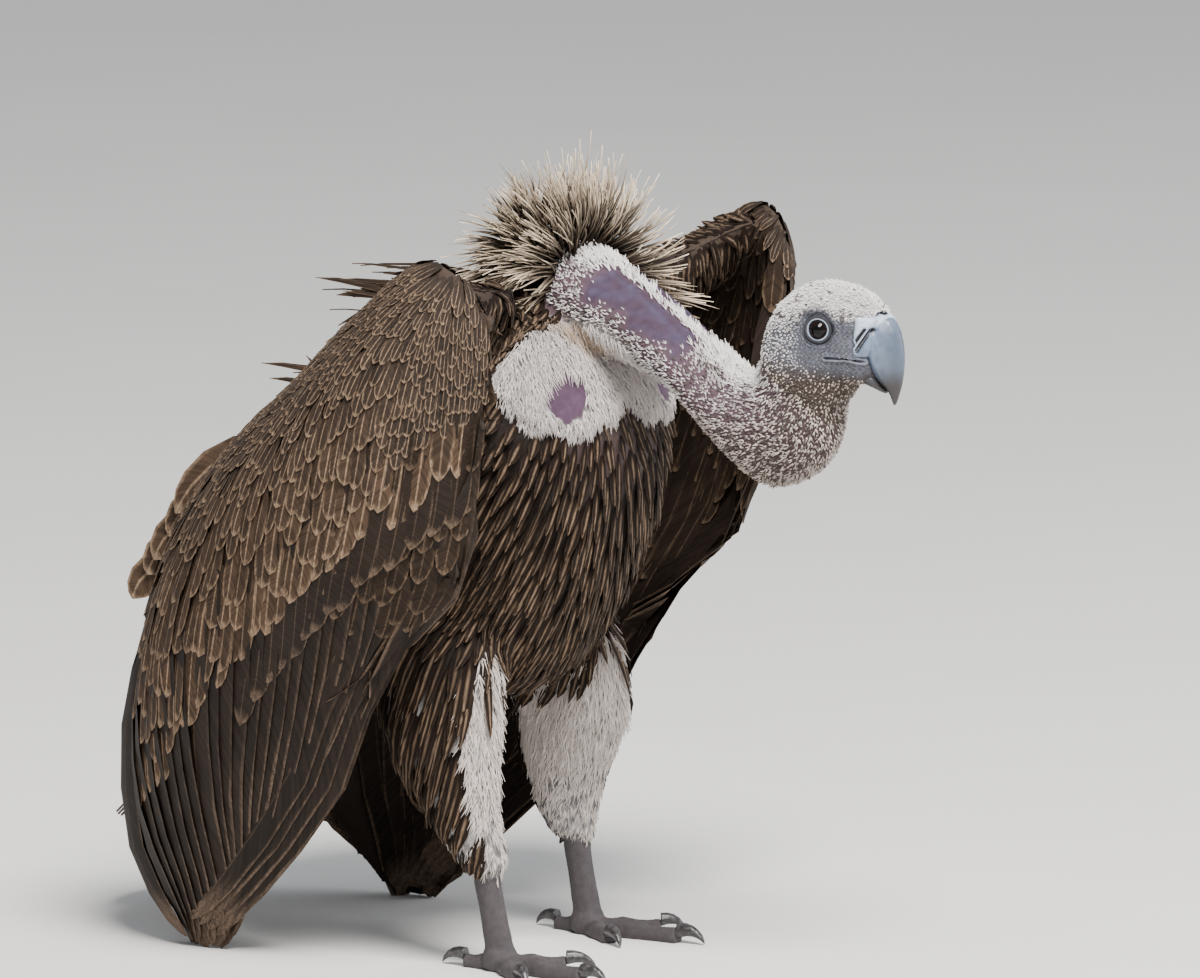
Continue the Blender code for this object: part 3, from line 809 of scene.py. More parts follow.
def sink_thin(body, depth, share=0.28):
    """Sinks both faces of a thin body, by depth or by a share of its thickness there."""
    tree = tree_of(body.data)
    limits = np.full(len(body.data.vertices), depth)
    for index, (place, normal) in enumerate(zip(points_of(body.data), normals_of(body.data))):
        away = tree.ray_cast(Vector(place - normal * 0.0002), Vector(-normal), depth / share)[3]
        if away is not None:
            limits[index] = min(depth, away * share)
    sink(body, np.minimum(limits, spread_values(body.data, limits, 8)))


def triangle_count(mesh):
    return sum(len(face.vertices) - 2 for face in mesh.polygons)


def thin_skin(body):
    """Fewer faces under the feathers, while head, neck, crop and feet keep theirs."""
    places = points_of(body.data)
    fine = (places[:, 1] < -0.150) | (places[:, 2] < 0.085) | (crop_share(places) > 0.5)
    run, _ = along_neck(places)
    fine |= (run > 0.02) & (np.abs(places[:, 0] - MID) < 0.056) & (places[:, 2] > 0.40)
    group = body.vertex_groups.new(name="thin")
    group.add(np.nonzero(~fine)[0].tolist(), 1.0, "REPLACE")
    faces = triangle_count(body.data)
    kept = sizes().skin_faces + faces * fine.mean()
    apply_modifier(body, "DECIMATE", ratio=min(1.0, kept / faces), vertex_group="thin")
    body.vertex_groups.clear()


def make_lid(side, radius, thick, out):
    """Ring of a lid round one eye."""
    way = eye_axis(SIDES[side])
    return new_primitive("torus", location=EYES[side] + way * out,
                         rotation=way.to_track_quat("Z", "Y").to_euler(), major_radius=radius,
                         minor_radius=thick, major_segments=72, minor_segments=12)


def refine(body, inside):
    """Splits the edges whose middles lie inside, to carry finer relief."""
    mesh = bmesh.new()
    mesh.from_mesh(body.data)
    mesh.edges.ensure_lookup_table()
    middles = np.array([(edge.verts[0].co + edge.verts[1].co) / 2 for edge in mesh.edges])
    chosen = np.nonzero(inside(middles))[0]
    bmesh.ops.subdivide_edges(mesh, edges=[mesh.edges[index] for index in chosen], cuts=1,
                              use_grid_fill=True, smooth=0.0)
    mesh.to_mesh(body.data)
    mesh.free()


def near_bill(places):
    return (places[:, 1] < -0.284) & (abs(places[:, 2] - 0.494) < 0.025)


def near_features(places):
    """Round the eyes and along the gape, where the relief is finest."""
    around, out, _ = eye_frame(places)
    gape = distance_to_line(folded(places), GAPE[0], GAPE[2])
    return ((around < 0.0165) & (out > -0.008)) | (gape < 0.006)


def bump_at(away, width):
    """A soft ridge: 1 in its middle, fading over its width."""
    return np.exp(-(away / width) ** 2)


def carve_face(body):
    """Sockets, brow, gape and folds of the bare skin, moved into the skin itself."""
    mesh = body.data
    places = points_of(mesh)
    normals = normals_of(mesh)
    apart = folded(places)
    head = (places[:, 1] < -0.26) & (places[:, 2] > 0.44)
    around, out, bearing = eye_frame(places)
    floor = LID_OUT - 0.0016 + 0.0052 * rise(0.0095, 0.0165, around)
    floor += 0.0030 * rise(0.004, 0.012, apart[:, 2] - EYES["left"].z)
    push = np.where(head & (around < 0.0185) & (out > floor), floor - out, 0.0)
    places[:, 0] += np.sign(places[:, 0] - MID) * push * math.cos(EYE_TURN)
    places[:, 1] -= push * math.sin(EYE_TURN)
    brow = distance_to_line(apart, (0.0245, -0.288, 0.5185), (0.0170, -0.333, 0.5175))
    lores = distance_to_line(apart, (0.0245, -0.317, 0.503), (0.0215, -0.329, 0.499))
    cheek = distance_to_line(apart, (0.029, -0.300, 0.4790), (0.024, -0.322, 0.4745))
    gape = gape_away(apart)
    move = 0.0022 * bump_at(brow, 0.0042) - 0.0015 * bump_at(lores, 0.0060) \
        + 0.0014 * bump_at(cheek, 0.0050) - 0.0026 * bump_at(gape, 0.0009) \
        + 0.0010 * bump_at(gape - 0.0019, 0.0009) * (gape > 0.0005)
    wave = around + 0.0006 * np.sin(bearing * 3)
    move += 0.00042 * np.sin(wave * 2700) * bump_at(around - 0.0135, 0.0032) * head
    creases = np.sin(apart[:, 2] * 1500 + 5 * np.sin(apart[:, 1] * 230)) \
        * np.sin(apart[:, 1] * 900 + 4 * np.sin(apart[:, 2] * 310))
    move += 0.00022 * creases * face_share(places) * (around > 0.012)
    run, angle = along_neck(places)
    move += 0.0006 * mauve_share(run, angle) * np.sin(run * 620 + 3 * angle) \
        * np.sin(angle * 5 + run * 60)
    beyond = ((places[:, 1] < -0.06) & (places[:, 2] > 0.36)).astype(float)
    set_points(mesh, places + normals * (move * beyond)[:, None])


def scute_feet(body):
    """Rows of broad scales on top of the toes and a net of small ones on the shanks."""
    mesh = body.data
    places = points_of(mesh)
    normals = normals_of(mesh)
    ankles = np.array([sum(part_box(f"shank_{side}"), Vector()) / 2 for side in SIDES])
    off = places - ankles[(places[:, 0] > MID).astype(int)]
    away = np.hypot(off[:, 0], off[:, 1])
    toes = np.abs(np.sin(away * math.pi / SCUTE)) ** 0.5 * np.maximum(normals[:, 2], 0.0)
    toes = toes * fall(0.020, 0.027, places[:, 2]) * (away > 0.012)
    turn = np.arctan2(off[:, 1], off[:, 0])
    row = places[:, 2] / SCUTE
    net = np.abs(np.sin(row * math.pi)) * np.abs(np.sin(turn * 6 + np.floor(row) * 1.57))
    shank = net ** 0.4 * rise(0.022, 0.028, places[:, 2]) * fall(0.082, 0.090, places[:, 2])
    move = (0.00055 * toes + 0.00040 * shank) * (places[:, 2] > 0.0035) * (places[:, 2] < 0.095)
    set_points(mesh, places + normals * move[:, None])


def make_skin():
    """Trunk, neck, head and thighs as one form, with wings, feet and lids grown onto it."""
    grain = sizes().skin_grain
    body = copy_nodes("skin", CORE, FUSE)
    regrow(body, grain, 10)
    sink(body, coat_depths(body.data))
    ease(body, 6)
    for side in SIDES:
        wing = wing_form(side, f"shoulder_{side}")
        sink_thin(wing, WING_BED)
        grow_onto(body, wing)
        foot = copy_nodes("foot", [f"shank_{side}", f"foot_{side}"], FUSE)
        regrow(foot, grain * 0.72, 5)
        places = points_of(foot.data)
        top = places[:, 2].max()
        places[:, 2] += 0.024 * rise(top - 0.012, top, places[:, 2])
        set_points(foot.data, places)
        grow_onto(body, foot)
    mend(body)
    thin_skin(body)
    mend(body)
    for inside in (near_bill, near_features):
        refine(body, inside)
    carve_face(body)
    scute_feet(body)
    for side in SIDES:
        grow_onto(body, make_lid(side, 0.0096, 0.0012, LID_OUT - 0.0007))
        grow_onto(body, make_lid(side, 0.0080, 0.0007, LID_OUT))
    set_paint(body.data, skin_colour(points_of(body.data)))
    body.data.shade_smooth()
    select_only(body)
    bpy.ops.object.mode_set(mode="EDIT")
    bpy.ops.mesh.select_all(action="SELECT")
    bpy.ops.uv.smart_project(angle_limit=math.radians(66), island_margin=0.001)
    bpy.ops.object.mode_set(mode="OBJECT")
    body.data.uv_layers[0].name = "OFBake"
    dress(body, skin_material(), "neck_skin", *FLESH)
    MADE["skin"] = Skin(body)


# ---------------------------------------------------------------- materials
class Wires:
    """The nodes of a material or a group, with short ways to add and to link them."""

    def __init__(self, tree):
        self.tree = tree

    def add(self, kind, feeds=(), **values):
        """A node with its values set, and its inputs fed from sockets or given numbers."""
        node = self.tree.nodes.new(f"ShaderNode{kind}")
        for name, value in values.items():
            setattr(node, name, value)
        for name, source in dict(feeds).items():
            if isinstance(source, bpy.types.NodeSocket):
                self.tree.links.new(source, node.inputs[name])
            else:
                node.inputs[name].default_value = source
        return node

    def maths(self, operation, *feeds):
        return self.add("Math", enumerate(feeds), operation=operation).outputs[0]

    def times(self, first, second):
        return self.maths("MULTIPLY", first, second)

    def scaled(self, value, factor, offset):
        return self.maths("MULTIPLY_ADD", value, factor, offset)

    def ramp(self, value, low, high):
        """0 below low, 1 above high, smooth between."""
        feeds = {"Value": value, "From Min": low, "From Max": high}
        return self.add("MapRange", feeds, interpolation_type="SMOOTHSTEP").outputs["Result"]

    def mix(self, share, low, high, way="MIX"):
        low, high = (colour if isinstance(colour, bpy.types.NodeSocket) else (*colour, 1.0)
                     for colour in (low, high))
        return self.add("Mix", {0: share, 6: low, 7: high}, data_type="RGBA",
                        blend_type=way).outputs[2]

    def dim(self, colour, shade):
        return self.mix(1.0, colour, shade, "MULTIPLY")

    def place(self):
        return self.add("TexCoord").outputs["Object"]

    def noise(self, spot, scale, detail, **feeds):
        return self.add("TexNoise", {"Vector": spot, "Scale": scale, "Detail": detail, **feeds},
                        noise_dimensions="4D" if "W" in feeds else "3D").outputs[0]

    def value(self, name):
        return self.add("Attribute", attribute_name=name).outputs["Fac"]

    def group(self, tree, **feeds):
        feeds = {label.replace("_", " "): source for label, source in feeds.items()}
        return self.add("Group", feeds, node_tree=tree).outputs

    def mottle(self, scale):
        return self.group(mottle_group(), Place=self.place(), Scale=scale)


class Group(Wires):
    """A node group with named inputs and outputs."""

    def __init__(self, name, **inputs):
        super().__init__(bpy.data.node_groups.new(name, "ShaderNodeTree"))
        for label, default in inputs.items():
            kind = "NodeSocketVector" if default is None else "NodeSocketFloat"
            socket = self.tree.interface.new_socket(name=label.replace("_", " "),
                                                    in_out="INPUT", socket_type=kind)
            if default is not None:
                socket.default_value = default
        self.given = self.tree.nodes.new("NodeGroupInput").outputs

    def give(self, **results):
        for label in results:
            self.tree.interface.new_socket(name=label, in_out="OUTPUT",
                                           socket_type="NodeSocketFloat")
        end = self.tree.nodes.new("NodeGroupOutput")
        for label, source in results.items():
            self.tree.links.new(source, end.inputs[label])
        return self.tree


class Finish(Wires):
    """A material with its Principled shader."""

    def __init__(self, name, roughness, **shader_values):
        self.material = bpy.data.materials.new(name)
        self.material.use_nodes = True
        super().__init__(self.material.node_tree)
        self.shader = self.tree.nodes["Principled BSDF"].inputs
        for label, value in {"Roughness": roughness, **shader_values}.items():
            self.shader[label.replace("_", " ")].default_value = value

    def feed(self, label, source):
        self.tree.links.new(source, self.shader[label])

    def bump(self, height, strength, distance):
        feeds = {"Strength": strength, "Distance": distance, "Height": height}
        self.feed("Normal", self.add("Bump", feeds).outputs["Normal"])


def vane_group():
    """Marks of one vane from its own map: worn rim, shaft, barbs and fibres."""
    if "Vane marks" in bpy.data.node_groups:
        return bpy.data.node_groups["Vane marks"]
    group = Group("Vane marks", Map=None, Rim_from=0.62, Shaft_width=0.12, Barbs=60.0, Tone=0.5)
    own_map, rim_from, shaft_width, barbs, tone = list(group.given)[:5]
    side, down = group.add("SeparateXYZ", {0: own_map}).outputs[:2]
    across = group.maths("ABSOLUTE", group.scaled(side, 2.0, -1.0))
    ragged = group.scaled(group.noise(own_map, 7.0, 3.0, W=tone), 0.5, -0.25)
    edge = group.ramp(group.maths("ADD", across, ragged), rim_from, 0.98)
    tip = group.ramp(group.maths("ADD", down, group.times(ragged, 0.3)), 0.86, 0.98)
    slope = group.scaled(across, -9.0, group.times(down, barbs))
    wave = group.maths("SINE", group.times(slope, 6.283))
    line = group.times(group.scaled(side, 1.7, slope), 0.42)
    spot = group.add("CombineXYZ", {0: line, 1: tone}).outputs[0]
    fibre = group.noise(spot, 1.0, 2.0, W=group.times(tone, 37.0))
    return group.give(
        Rim=group.maths("MAXIMUM", edge, tip),
        Shaft=group.maths("SUBTRACT", 1.0, group.ramp(across, 0.0, shaft_width)),
        Barb=group.scaled(wave, 0.5, 0.5), Fibre=group.ramp(fibre, 0.36, 0.64), Down=down)


def mottle_group():
    """Uneven value over the surface, from two sizes of noise on the object's own space."""
    if "Mottle" in bpy.data.node_groups:
        return bpy.data.node_groups["Mottle"]
    group = Group("Mottle", Place=None, Scale=60.0)
    place, scale = list(group.given)[:2]
    broad = group.noise(place, scale, 4.0, Roughness=0.6)
    fine = group.noise(place, group.times(scale, 9.0), 3.0)
    return group.give(Broad=group.ramp(broad, 0.32, 0.68), Fine=group.ramp(fine, 0.35, 0.65))


def vane_material(name, dark, rim, rim_share, rim_from=0.62, shaft_share=0.8, shaft_width=0.12,
                  other=None, spread=0.5, roughness=0.75, barbs=60.0, tip=None):
    """Feather finish: dark middle, worn pale rim, shaft, barbs, and each feather its own tone.

    other is a second middle colour that the zone value brings in, and tip is a pair of
    marks between which the feather turns to its rim colour towards the end.
    """
    if name in bpy.data.materials:
        return bpy.data.materials[name]
    finish = Finish(name, roughness, Specular_IOR_Level=0.12)
    times, scaled, ramp = finish.times, finish.scaled, finish.ramp
    tone = finish.value("tone")
    own_map = finish.add("UVMap", uv_map="Vane").outputs[0]
    marks = finish.group(vane_group(), Map=own_map, Tone=tone, Rim_from=rim_from,
                         Shaft_width=shaft_width, Barbs=barbs)
    uneven = finish.mottle(45.0)
    middle = dark if other is None else finish.mix(finish.value("zone"), dark, other)
    colour = finish.mix(times(tone, spread), middle, finish.dim(middle, (1.9, 1.8, 1.7)))
    colour = finish.mix(times(uneven["Broad"], 0.45), colour, finish.dim(colour, (0.6,) * 3))
    edge = times(times(marks["Rim"], rim_share), ramp(marks["Down"], 0.2, 0.9))
    colour = finish.mix(times(edge, scaled(uneven["Fine"], 0.5, 0.6)), colour, rim)
    if tip is not None:
        reach = finish.maths("ADD", marks["Down"], scaled(tone, 0.24, -0.12))
        colour = finish.mix(ramp(reach, *tip), colour, rim)
    line = times(times(marks["Shaft"], shaft_share), ramp(marks["Down"], 0.12, 0.45))
    colour = finish.mix(times(line, scaled(tone, 0.6, 0.5)), colour, rim)
    colour = finish.mix(times(marks["Fibre"], 0.75), colour, finish.dim(colour, (0.42,) * 3))
    finish.feed("Base Color", colour)
    finish.bump(marks["Barb"], 0.25, 0.0003)
    return finish.material


def painted_material(name, roughness, scale, variation, height, **values):
    """Finish that takes its colour from the piece's own paint, with mottling and relief."""
    if name in bpy.data.materials:
        return bpy.data.materials[name]
    finish = Finish(name, roughness, **values)
    paint = finish.add("Attribute", attribute_name="paint").outputs["Color"]
    uneven = finish.mottle(scale)
    dark = finish.dim(paint, (0.55, 0.52, 0.52))
    colour = finish.mix(finish.times(uneven["Broad"], variation), paint, dark)
    colour = finish.mix(finish.times(uneven["Fine"], variation * 0.6), colour, dark)
    finish.feed("Base Color", colour)
    finish.feed("Roughness", finish.scaled(uneven["Fine"], 0.14, roughness - 0.07))
    finish.bump(uneven["Fine"], 0.5, height)
    return finish.material


def covert_material():
    return vane_material("covert feather", hue("covert"), hue("covert_rim"), 0.75, rim_from=0.66,
                         shaft_width=0.13, other=hue("covert_grey"), spread=0.8)


# Coverts at 0.45 of their colour: painted shade on the wing's inner face and front fold, and dark
# feathers of the back wisps and tail coverts.
def dark_and_shaded_covert_material():
    return vane_material("dark covert feather", hue("covert", 0.45), hue("covert_rim", 0.45),
                         0.75, rim_from=0.68, shaft_share=0.5)


def flight_material():
    return vane_material("flight feather", hue("flight"), hue("flight_rim"), 0.75, rim_from=0.80,
                         shaft_share=0.35, shaft_width=0.07, roughness=0.60, barbs=130.0)


def breast_material():
    return vane_material("breast feather", hue("breast"), hue("breast_streak"), 0.18,
                         shaft_share=0.85, shaft_width=0.42, barbs=34.0)


def ruff_material():
    return vane_material("ruff feather", hue("ruff_base"), hue("ruff_tip"), 0.25, rim_from=0.55,
                         shaft_share=0.5, shaft_width=0.5, tip=(0.50, 0.98), barbs=20.0,
                         roughness=0.7)


def down_material():
    return painted_material("down", 0.95, 160.0, 0.25, 0.0002, Sheen_Weight=0.35,
                            Sheen_Roughness=0.6)


def skin_material():
    return painted_material("skin", 0.62, 190.0, 0.55, 0.0006, Specular_IOR_Level=0.25)


# ---------------------------------------------------------------- wings
RIDGE = 0.53            # z + WING_SLOPE * y along the ridge of the forearm
WING_SLOPE = 0.85
# Leading edge, wrist and ridge of a wing as seen from its side: (0, y, z)
WING_EDGE = [(0.0, -0.112, 0.450), (0.0, -0.118, 0.505), (0.0, -0.085, 0.540),
             (0.0, -0.052, 0.547), (0.0, 0.063, 0.462), (0.0, 0.180, 0.373),
             (0.0, 0.247, 0.288), (0.0, 0.277, 0.221)]

# Rear face of a wing: its top, and |x| of its inner and outer edge there, with their slopes
REAR_TOP = 0.275
REAR_INNER = (0.044, 0.29)
REAR_OUTER = (0.166, -0.10)
EDGE_TOP = 0.345        # height where the feathers along the front lower edge begin
TERTIAL_ROOTS = [(0.164, 0.122, 0.402), (0.150, 0.206, 0.300)]
QUILL_STEP = 0.022      # a ray that lands further on has passed the wing's edge

# Lie of the wing feathers, for the left wing: (x, y, z) and the direction there.
WING_LIE = [
    ((0.19, -0.100, 0.50), (0.0, 0.05, -1.0)),
    ((0.19, -0.100, 0.42), (0.0, 0.08, -1.0)),
    ((0.19, -0.060, 0.32), (0.0, 0.28, -1.0)),
    ((0.17, -0.010, 0.23), (0.0, 0.45, -1.0)),
    ((0.16, 0.070, 0.12), (0.0, 0.50, -1.0)),
    ((0.21, -0.060, 0.548), (0.0, 0.75, -0.7)),
    ((0.20, 0.010, 0.510), (0.0, 0.85, -0.7)),
    ((0.18, 0.080, 0.460), (0.0, 0.85, -0.7)),
    ((0.16, 0.180, 0.370), (0.0, 0.75, -1.0)),
    ((0.14, 0.250, 0.280), (0.0, 0.30, -1.0)),
    ((0.24, -0.020, 0.43), (0.0, 0.22, -1.0)),
    ((0.24, 0.060, 0.34), (0.0, 0.24, -1.0)),
    ((0.21, 0.080, 0.22), (0.0, 0.30, -1.0)),
    ((0.18, 0.200, 0.17), (0.0, 0.10, -1.0)),
    ((0.14, 0.260, 0.13), (0.0, -0.05, -1.0)),
    ((0.14, 0.190, 0.04), (0.0, 0.10, -1.0)),
    ((0.08, 0.280, 0.24), (0.12, 0.10, -1.0)),
    ((0.09, 0.285, 0.18), (0.28, 0.02, -1.0)),
    ((0.11, 0.280, 0.12), (0.34, -0.15, -1.0)),
    ((0.125, 0.255, 0.06), (0.22, -0.45, -1.0)),
]


def climb(places):
    """How far up towards the forearm's ridge a place on the wing lies."""
    return places[..., 2] + WING_SLOPE * places[..., 1]


def wing_form(side, *more):
    """Whole wing, coverts and quills, as one smooth form just under its outline."""
    form = copy_nodes("wing_form", [f"wing_{side}", f"flight_feathers_{side}", *more], FUSE)
    regrow(form, 0.0034, 10)
    sink_thin(form, COAT_DEPTH["wing"])
    return form


def section_loop(mesh, level):
    """Closed curve where the sloping plane climb = level cuts the wing, in order."""
    cut = bmesh.new()
    cut.from_mesh(mesh)
    found = bmesh.ops.bisect_plane(
        cut, geom=cut.verts[:] + cut.edges[:] + cut.faces[:],
        plane_co=(0.0, 0.0, level), plane_no=(0.0, WING_SLOPE, 1.0))["geom_cut"]
    cut.verts.index_update()
    links = {}
    spots = {}
    for edge in found:
        if isinstance(edge, bmesh.types.BMEdge):
            for here, other in (edge.verts, reversed(edge.verts)):
                links.setdefault(here.index, []).append(other.index)
                spots[here.index] = here.co.copy()
    cut.free()
    best = []
    left = set(links)
    while left:
        loop = [left.pop()]
        while onward := [other for other in links[loop[-1]] if other in left]:
            left.discard(onward[0])
            loop.append(onward[0])
        best = max(best, loop, key=len)
    return np.array([spots[index] for index in best])


def unbent(shafts, least):
    """Which shafts have no kink: no two steps in a row part by more than least allows."""
    headings = unit(np.diff(shafts, axis=1))
    return (headings[:, 1:] * headings[:, :-1]).sum(axis=2).min(axis=1) > least


def cast_quills(tree, origins, way, lean, rng):
    """Long feathers laid along the spots where rays from origins along way meet a form."""
    shafts = np.zeros_like(origins)
    ups = np.zeros_like(origins)
    for index, line in enumerate(origins):
        for row, origin in enumerate(line):
            before = shafts[index, row - 1]
            spot, normal, _, _ = tree.ray_cast(Vector(origin), Vector(way))
            if spot and (row == 0 or (np.array(spot) - before) @ way < QUILL_STEP):
                shafts[index, row] = spot
                ups[index, row] = normal
            else:
                shafts[index, row] = before + origin - line[row - 1]
                ups[index, row] = ups[index, row - 1]
    kept = np.abs(np.diff(shafts @ np.array(way), axis=1)).max(axis=1) < 2 * QUILL_STEP
    shafts, ups = shafts[kept], ups[kept]
    for _ in range(3):
        ups[:, 1:-1] = unit(ups[:, :-2] + ups[:, 1:-1] + ups[:, 2:])
    marks = QUILL_SHAPE[:, 0]
    free = rise(0.0, 0.4, marks)
    layer = np.arange(len(shafts))[:, None] * 0.0003
    lift = -0.0006 + 0.0020 * free + 0.0030 * marks + layer * free
    return part(vanes(shafts + ups * lift[..., None], ups,
                      rng.uniform(0.026, 0.031, len(shafts)), QUILL_SHAPE, thickness=0.0007,
                      camber=0.10, lean=lean), rng)


def front_of(form, levels):
    """The y of a form's front at each height."""
    places = points_of(form.data)
    return np.array([places[np.abs(places[:, 2] - level) < 0.004, 1].min() for level in levels])


def reach_of(tree, roots, lie, longest, margin=0.004, stride=0.006):
    """How far each feather can run along the form before it leaves it."""
    lengths = np.zeros(len(roots))
    for index, root in enumerate(roots):
        spot, normal, _, _ = tree.find_nearest(Vector(root))
        run = 0.0
        while run < longest:
            way = lie(spot, normal)
            way = (way - normal * way.dot(normal)).normalized()
            near, turned, _, _ = tree.find_nearest(spot + way * stride)
            if (near - spot).length < stride * 0.4 or way.dot(lie(near, turned).normalized()) < 0.2:
                break
            spot = near
            normal = turned
            run += stride
        lengths[index] = max(run - margin, 0.03)
    return lengths


def covert_spacing(places):
    """Tiny scales along the ridge and leading edge, wide ones low on the wing."""
    upright = places * (0.0, 1.0, 1.0)
    away = np.min([distance_to_line(upright, start, end)
                   for start, end in zip(WING_EDGE, WING_EDGE[1:])], axis=0)
    away = away + 0.26 * np.maximum(places[:, 1] + 0.02, 0.0)
    return 0.0036 + 0.0074 * rise(0.0, 0.15, away)


def lining_spacing(places):
    return 0.0050 + 0.0066 * rise(0.0, 0.12, RIDGE - climb(places))


class Wing:
    """One wing's form under its coat, with the lie and the random draws of its feathers."""

    def __init__(self, side, skin):
        self.sign = SIDES[side]
        self.skin = skin
        self.rng = np.random.default_rng(20 + self.sign)
        self.form = wing_form(side)
        self.tree = tree_of(self.form.data)
        guides = np.array(WING_LIE) * (self.sign, 1.0, 1.0)
        self.spots = guides[:, 0]
        self.ways = unit(guides[:, 1])

    def lie(self, place, _normal):
        """Direction of the feathers at a place, blended from the guides round it."""
        gap = ((self.spots - np.array(place)) ** 2).sum(axis=1) + 1e-5
        return Vector(((1 / gap ** 1.5)[:, None] * self.ways).sum(axis=0))

    def row(self, level, facing, count, first, last):
        """Evenly spaced roots along one face of the wing, from its front to its rear."""
        loop = section_loop(self.form.data, level)
        loop = np.roll(loop, -int(np.argmin(loop[:, 1])), axis=0)
        far = int(np.argmax(np.linalg.norm(loop - loop[0], axis=1)))
        halves = [loop[:far + 1], np.concatenate([loop[far:], loop[:1]])[::-1]]
        face = max(halves, key=lambda half: (half[:, 0] * facing).mean())
        steps = np.concatenate([[0], np.cumsum(np.linalg.norm(np.diff(face, axis=0), axis=1))])
        wanted = np.linspace(first, last, count) * steps[-1]
        return np.stack([np.interp(wanted, steps, face[:, axis]) for axis in range(3)], axis=1)

    def scales(self):
        """Coverts from the tiny ones at the wrist to the wide ones above the quills."""
        def covert(places, normals):
            lowest = 0.372 + 0.09 * rise(0.20, 0.26, places[:, 1])
            return (normals[:, 0] * self.sign > -0.72) & (climb(places) > lowest)

        roots = scatter(self.form.data, covert, covert_spacing, (1.0, 1.0, 0.46), seed=3)
        scale = covert_spacing(roots) / 0.0110
        widths = self.rng.uniform(0.94, 1.22, len(roots))
        widths = sizes().covert_width * scale * widths + 0.0008
        lengths = 0.062 * scale * self.rng.uniform(0.80, 1.15, len(roots)) + 0.002
        shafts, ups = comb(self.tree, roots, self.lie, lengths, COVERT_SHAPE[:, 0],
                           0.0012 + 0.0026 * scale, cling=3.0)
        kept = unbent(shafts, 0.30)
        grey = fall(0.35, 0.95, scale[kept])
        lean = self.rng.normal(0.0, 0.16, len(grey))
        return part(vanes(shafts[kept], ups[kept], widths[kept], COVERT_SHAPE, lean=lean),
                    self.rng, grey)

    def long_coverts(self, count=28):
        """The row whose tips lie over the roots of the quills."""
        roots = self.row(0.384, self.sign, count, 0.03, 0.82)
        roots[:, 2] += self.rng.uniform(-0.006, 0.006, count)
        lengths = 0.080 * self.rng.uniform(0.84, 1.10, count)
        widths = sizes().covert_width * self.rng.uniform(0.92, 1.15, count)
        lean = 0.10 * self.sign + self.rng.normal(0.0, 0.08, count)
        return part(leaves(self.tree, roots, self.lie, COVERT_SHAPE, lengths, 0.0036, widths,
                           lean, base=0.0004), self.rng)

    def tertials(self, count=6):
        """Broad feathers that stand off the elbow."""
        share = np.linspace(0.0, 1.0, count)[:, None]
        first, last = np.array(TERTIAL_ROOTS)
        start = (first * (1 - share) + last * share) * (self.sign, 1.0, 1.0)
        finish = start + np.array((0.004 * self.sign, 0.064, -0.062)) \
            * self.rng.uniform(0.85, 1.1, (count, 1)) * (1 - 0.35 * share)
        marks = COVERT_SHAPE[None, :, :1]
        shafts = start[:, None] * (1 - marks) + finish[:, None] * marks
        shafts = shafts + np.array((0.0, 0.013, 0.008)) * np.sin(math.pi * marks * 0.8)
        ups = np.tile(unit(np.array((0.95 * self.sign, 0.15, 0.35))), (*shafts.shape[:2], 1))
        return part(vanes(shafts, ups, 0.030, COVERT_SHAPE, lean=-0.2 * self.sign), self.rng)

    def face_quills(self, facing, count, first, last, cuts=24):
        """Long feathers down the outer or the inner face, to the tip of the wing."""
        roots = self.row(0.405, facing, count, first, last)
        lengths = reach_of(self.tree, roots, self.lie, 0.345)
        shafts, ups = comb(self.tree, roots, self.lie, lengths, np.linspace(0, 1, cuts + 1),
                           0.0006, hold=0.6)
        for _ in range(4):
            shafts[:, 1:-1] = (shafts[:, :-2] + 2 * shafts[:, 1:-1] + shafts[:, 2:]) / 4
            ups[:, 1:-1] = unit(ups[:, :-2] + 2 * ups[:, 1:-1] + ups[:, 2:])
        away = np.array([max(self.tree.find_nearest(Vector(spot))[3] for spot in shaft)
                         for shaft in shafts])
        falling = unit(np.diff(shafts, axis=1))[:, 2:, 2].max(axis=1) < -0.35
        kept = (away < 0.008) & unbent(shafts, 0.90) & falling
        shafts, ups = shafts[kept], ups[kept]
        picks = np.rint(QUILL_SHAPE[:, 0] * cuts).astype(int)
        layer = np.linspace(0.0, 0.0016, len(shafts))[:, None, None]
        return part(vanes((shafts + ups * layer)[:, picks], ups[:, picks],
                          self.rng.uniform(0.030, 0.034, len(shafts)), QUILL_SHAPE,
                          thickness=0.0007, camber=0.10, lean=0.20 * self.sign), self.rng)

    def rear_quills(self, count):
        """Down the rear face, where the wing closes behind the bird."""
        share = np.linspace(0.0, 1.0, count)[:, None]
        low = 0.012 + 0.060 * (1 - share) ** 1.5
        z = REAR_TOP + (low - REAR_TOP) * QUILL_SHAPE[:, 0]
        inner, outer = (edge + slope * (REAR_TOP - z) for edge, slope in (REAR_INNER, REAR_OUTER))
        x = self.sign * (inner + (outer - inner) * share)
        origins = np.stack([x, np.full_like(x, 0.5), z], axis=2)
        return cast_quills(self.skin.tree, origins, (0.0, -1.0, 0.0), -0.20 * self.sign, self.rng)

    def edge_quills(self, facing, count):
        """Along the front lower edge of the wing, on its outer or its inner face."""
        step = np.arange(count)[:, None]
        z = EDGE_TOP + (0.014 + 0.004 * step - EDGE_TOP) * QUILL_SHAPE[:, 0]
        y = front_of(self.form, z.ravel()).reshape(z.shape) + 0.010 + 0.009 * step
        x = np.full_like(y, 0.4 if facing == self.sign else 0.135) * self.sign
        origins = np.stack([x, y, z], axis=2)
        return cast_quills(self.skin.tree, origins, (-float(facing), 0.0, 0.0),
                           0.20 * self.sign, self.rng)

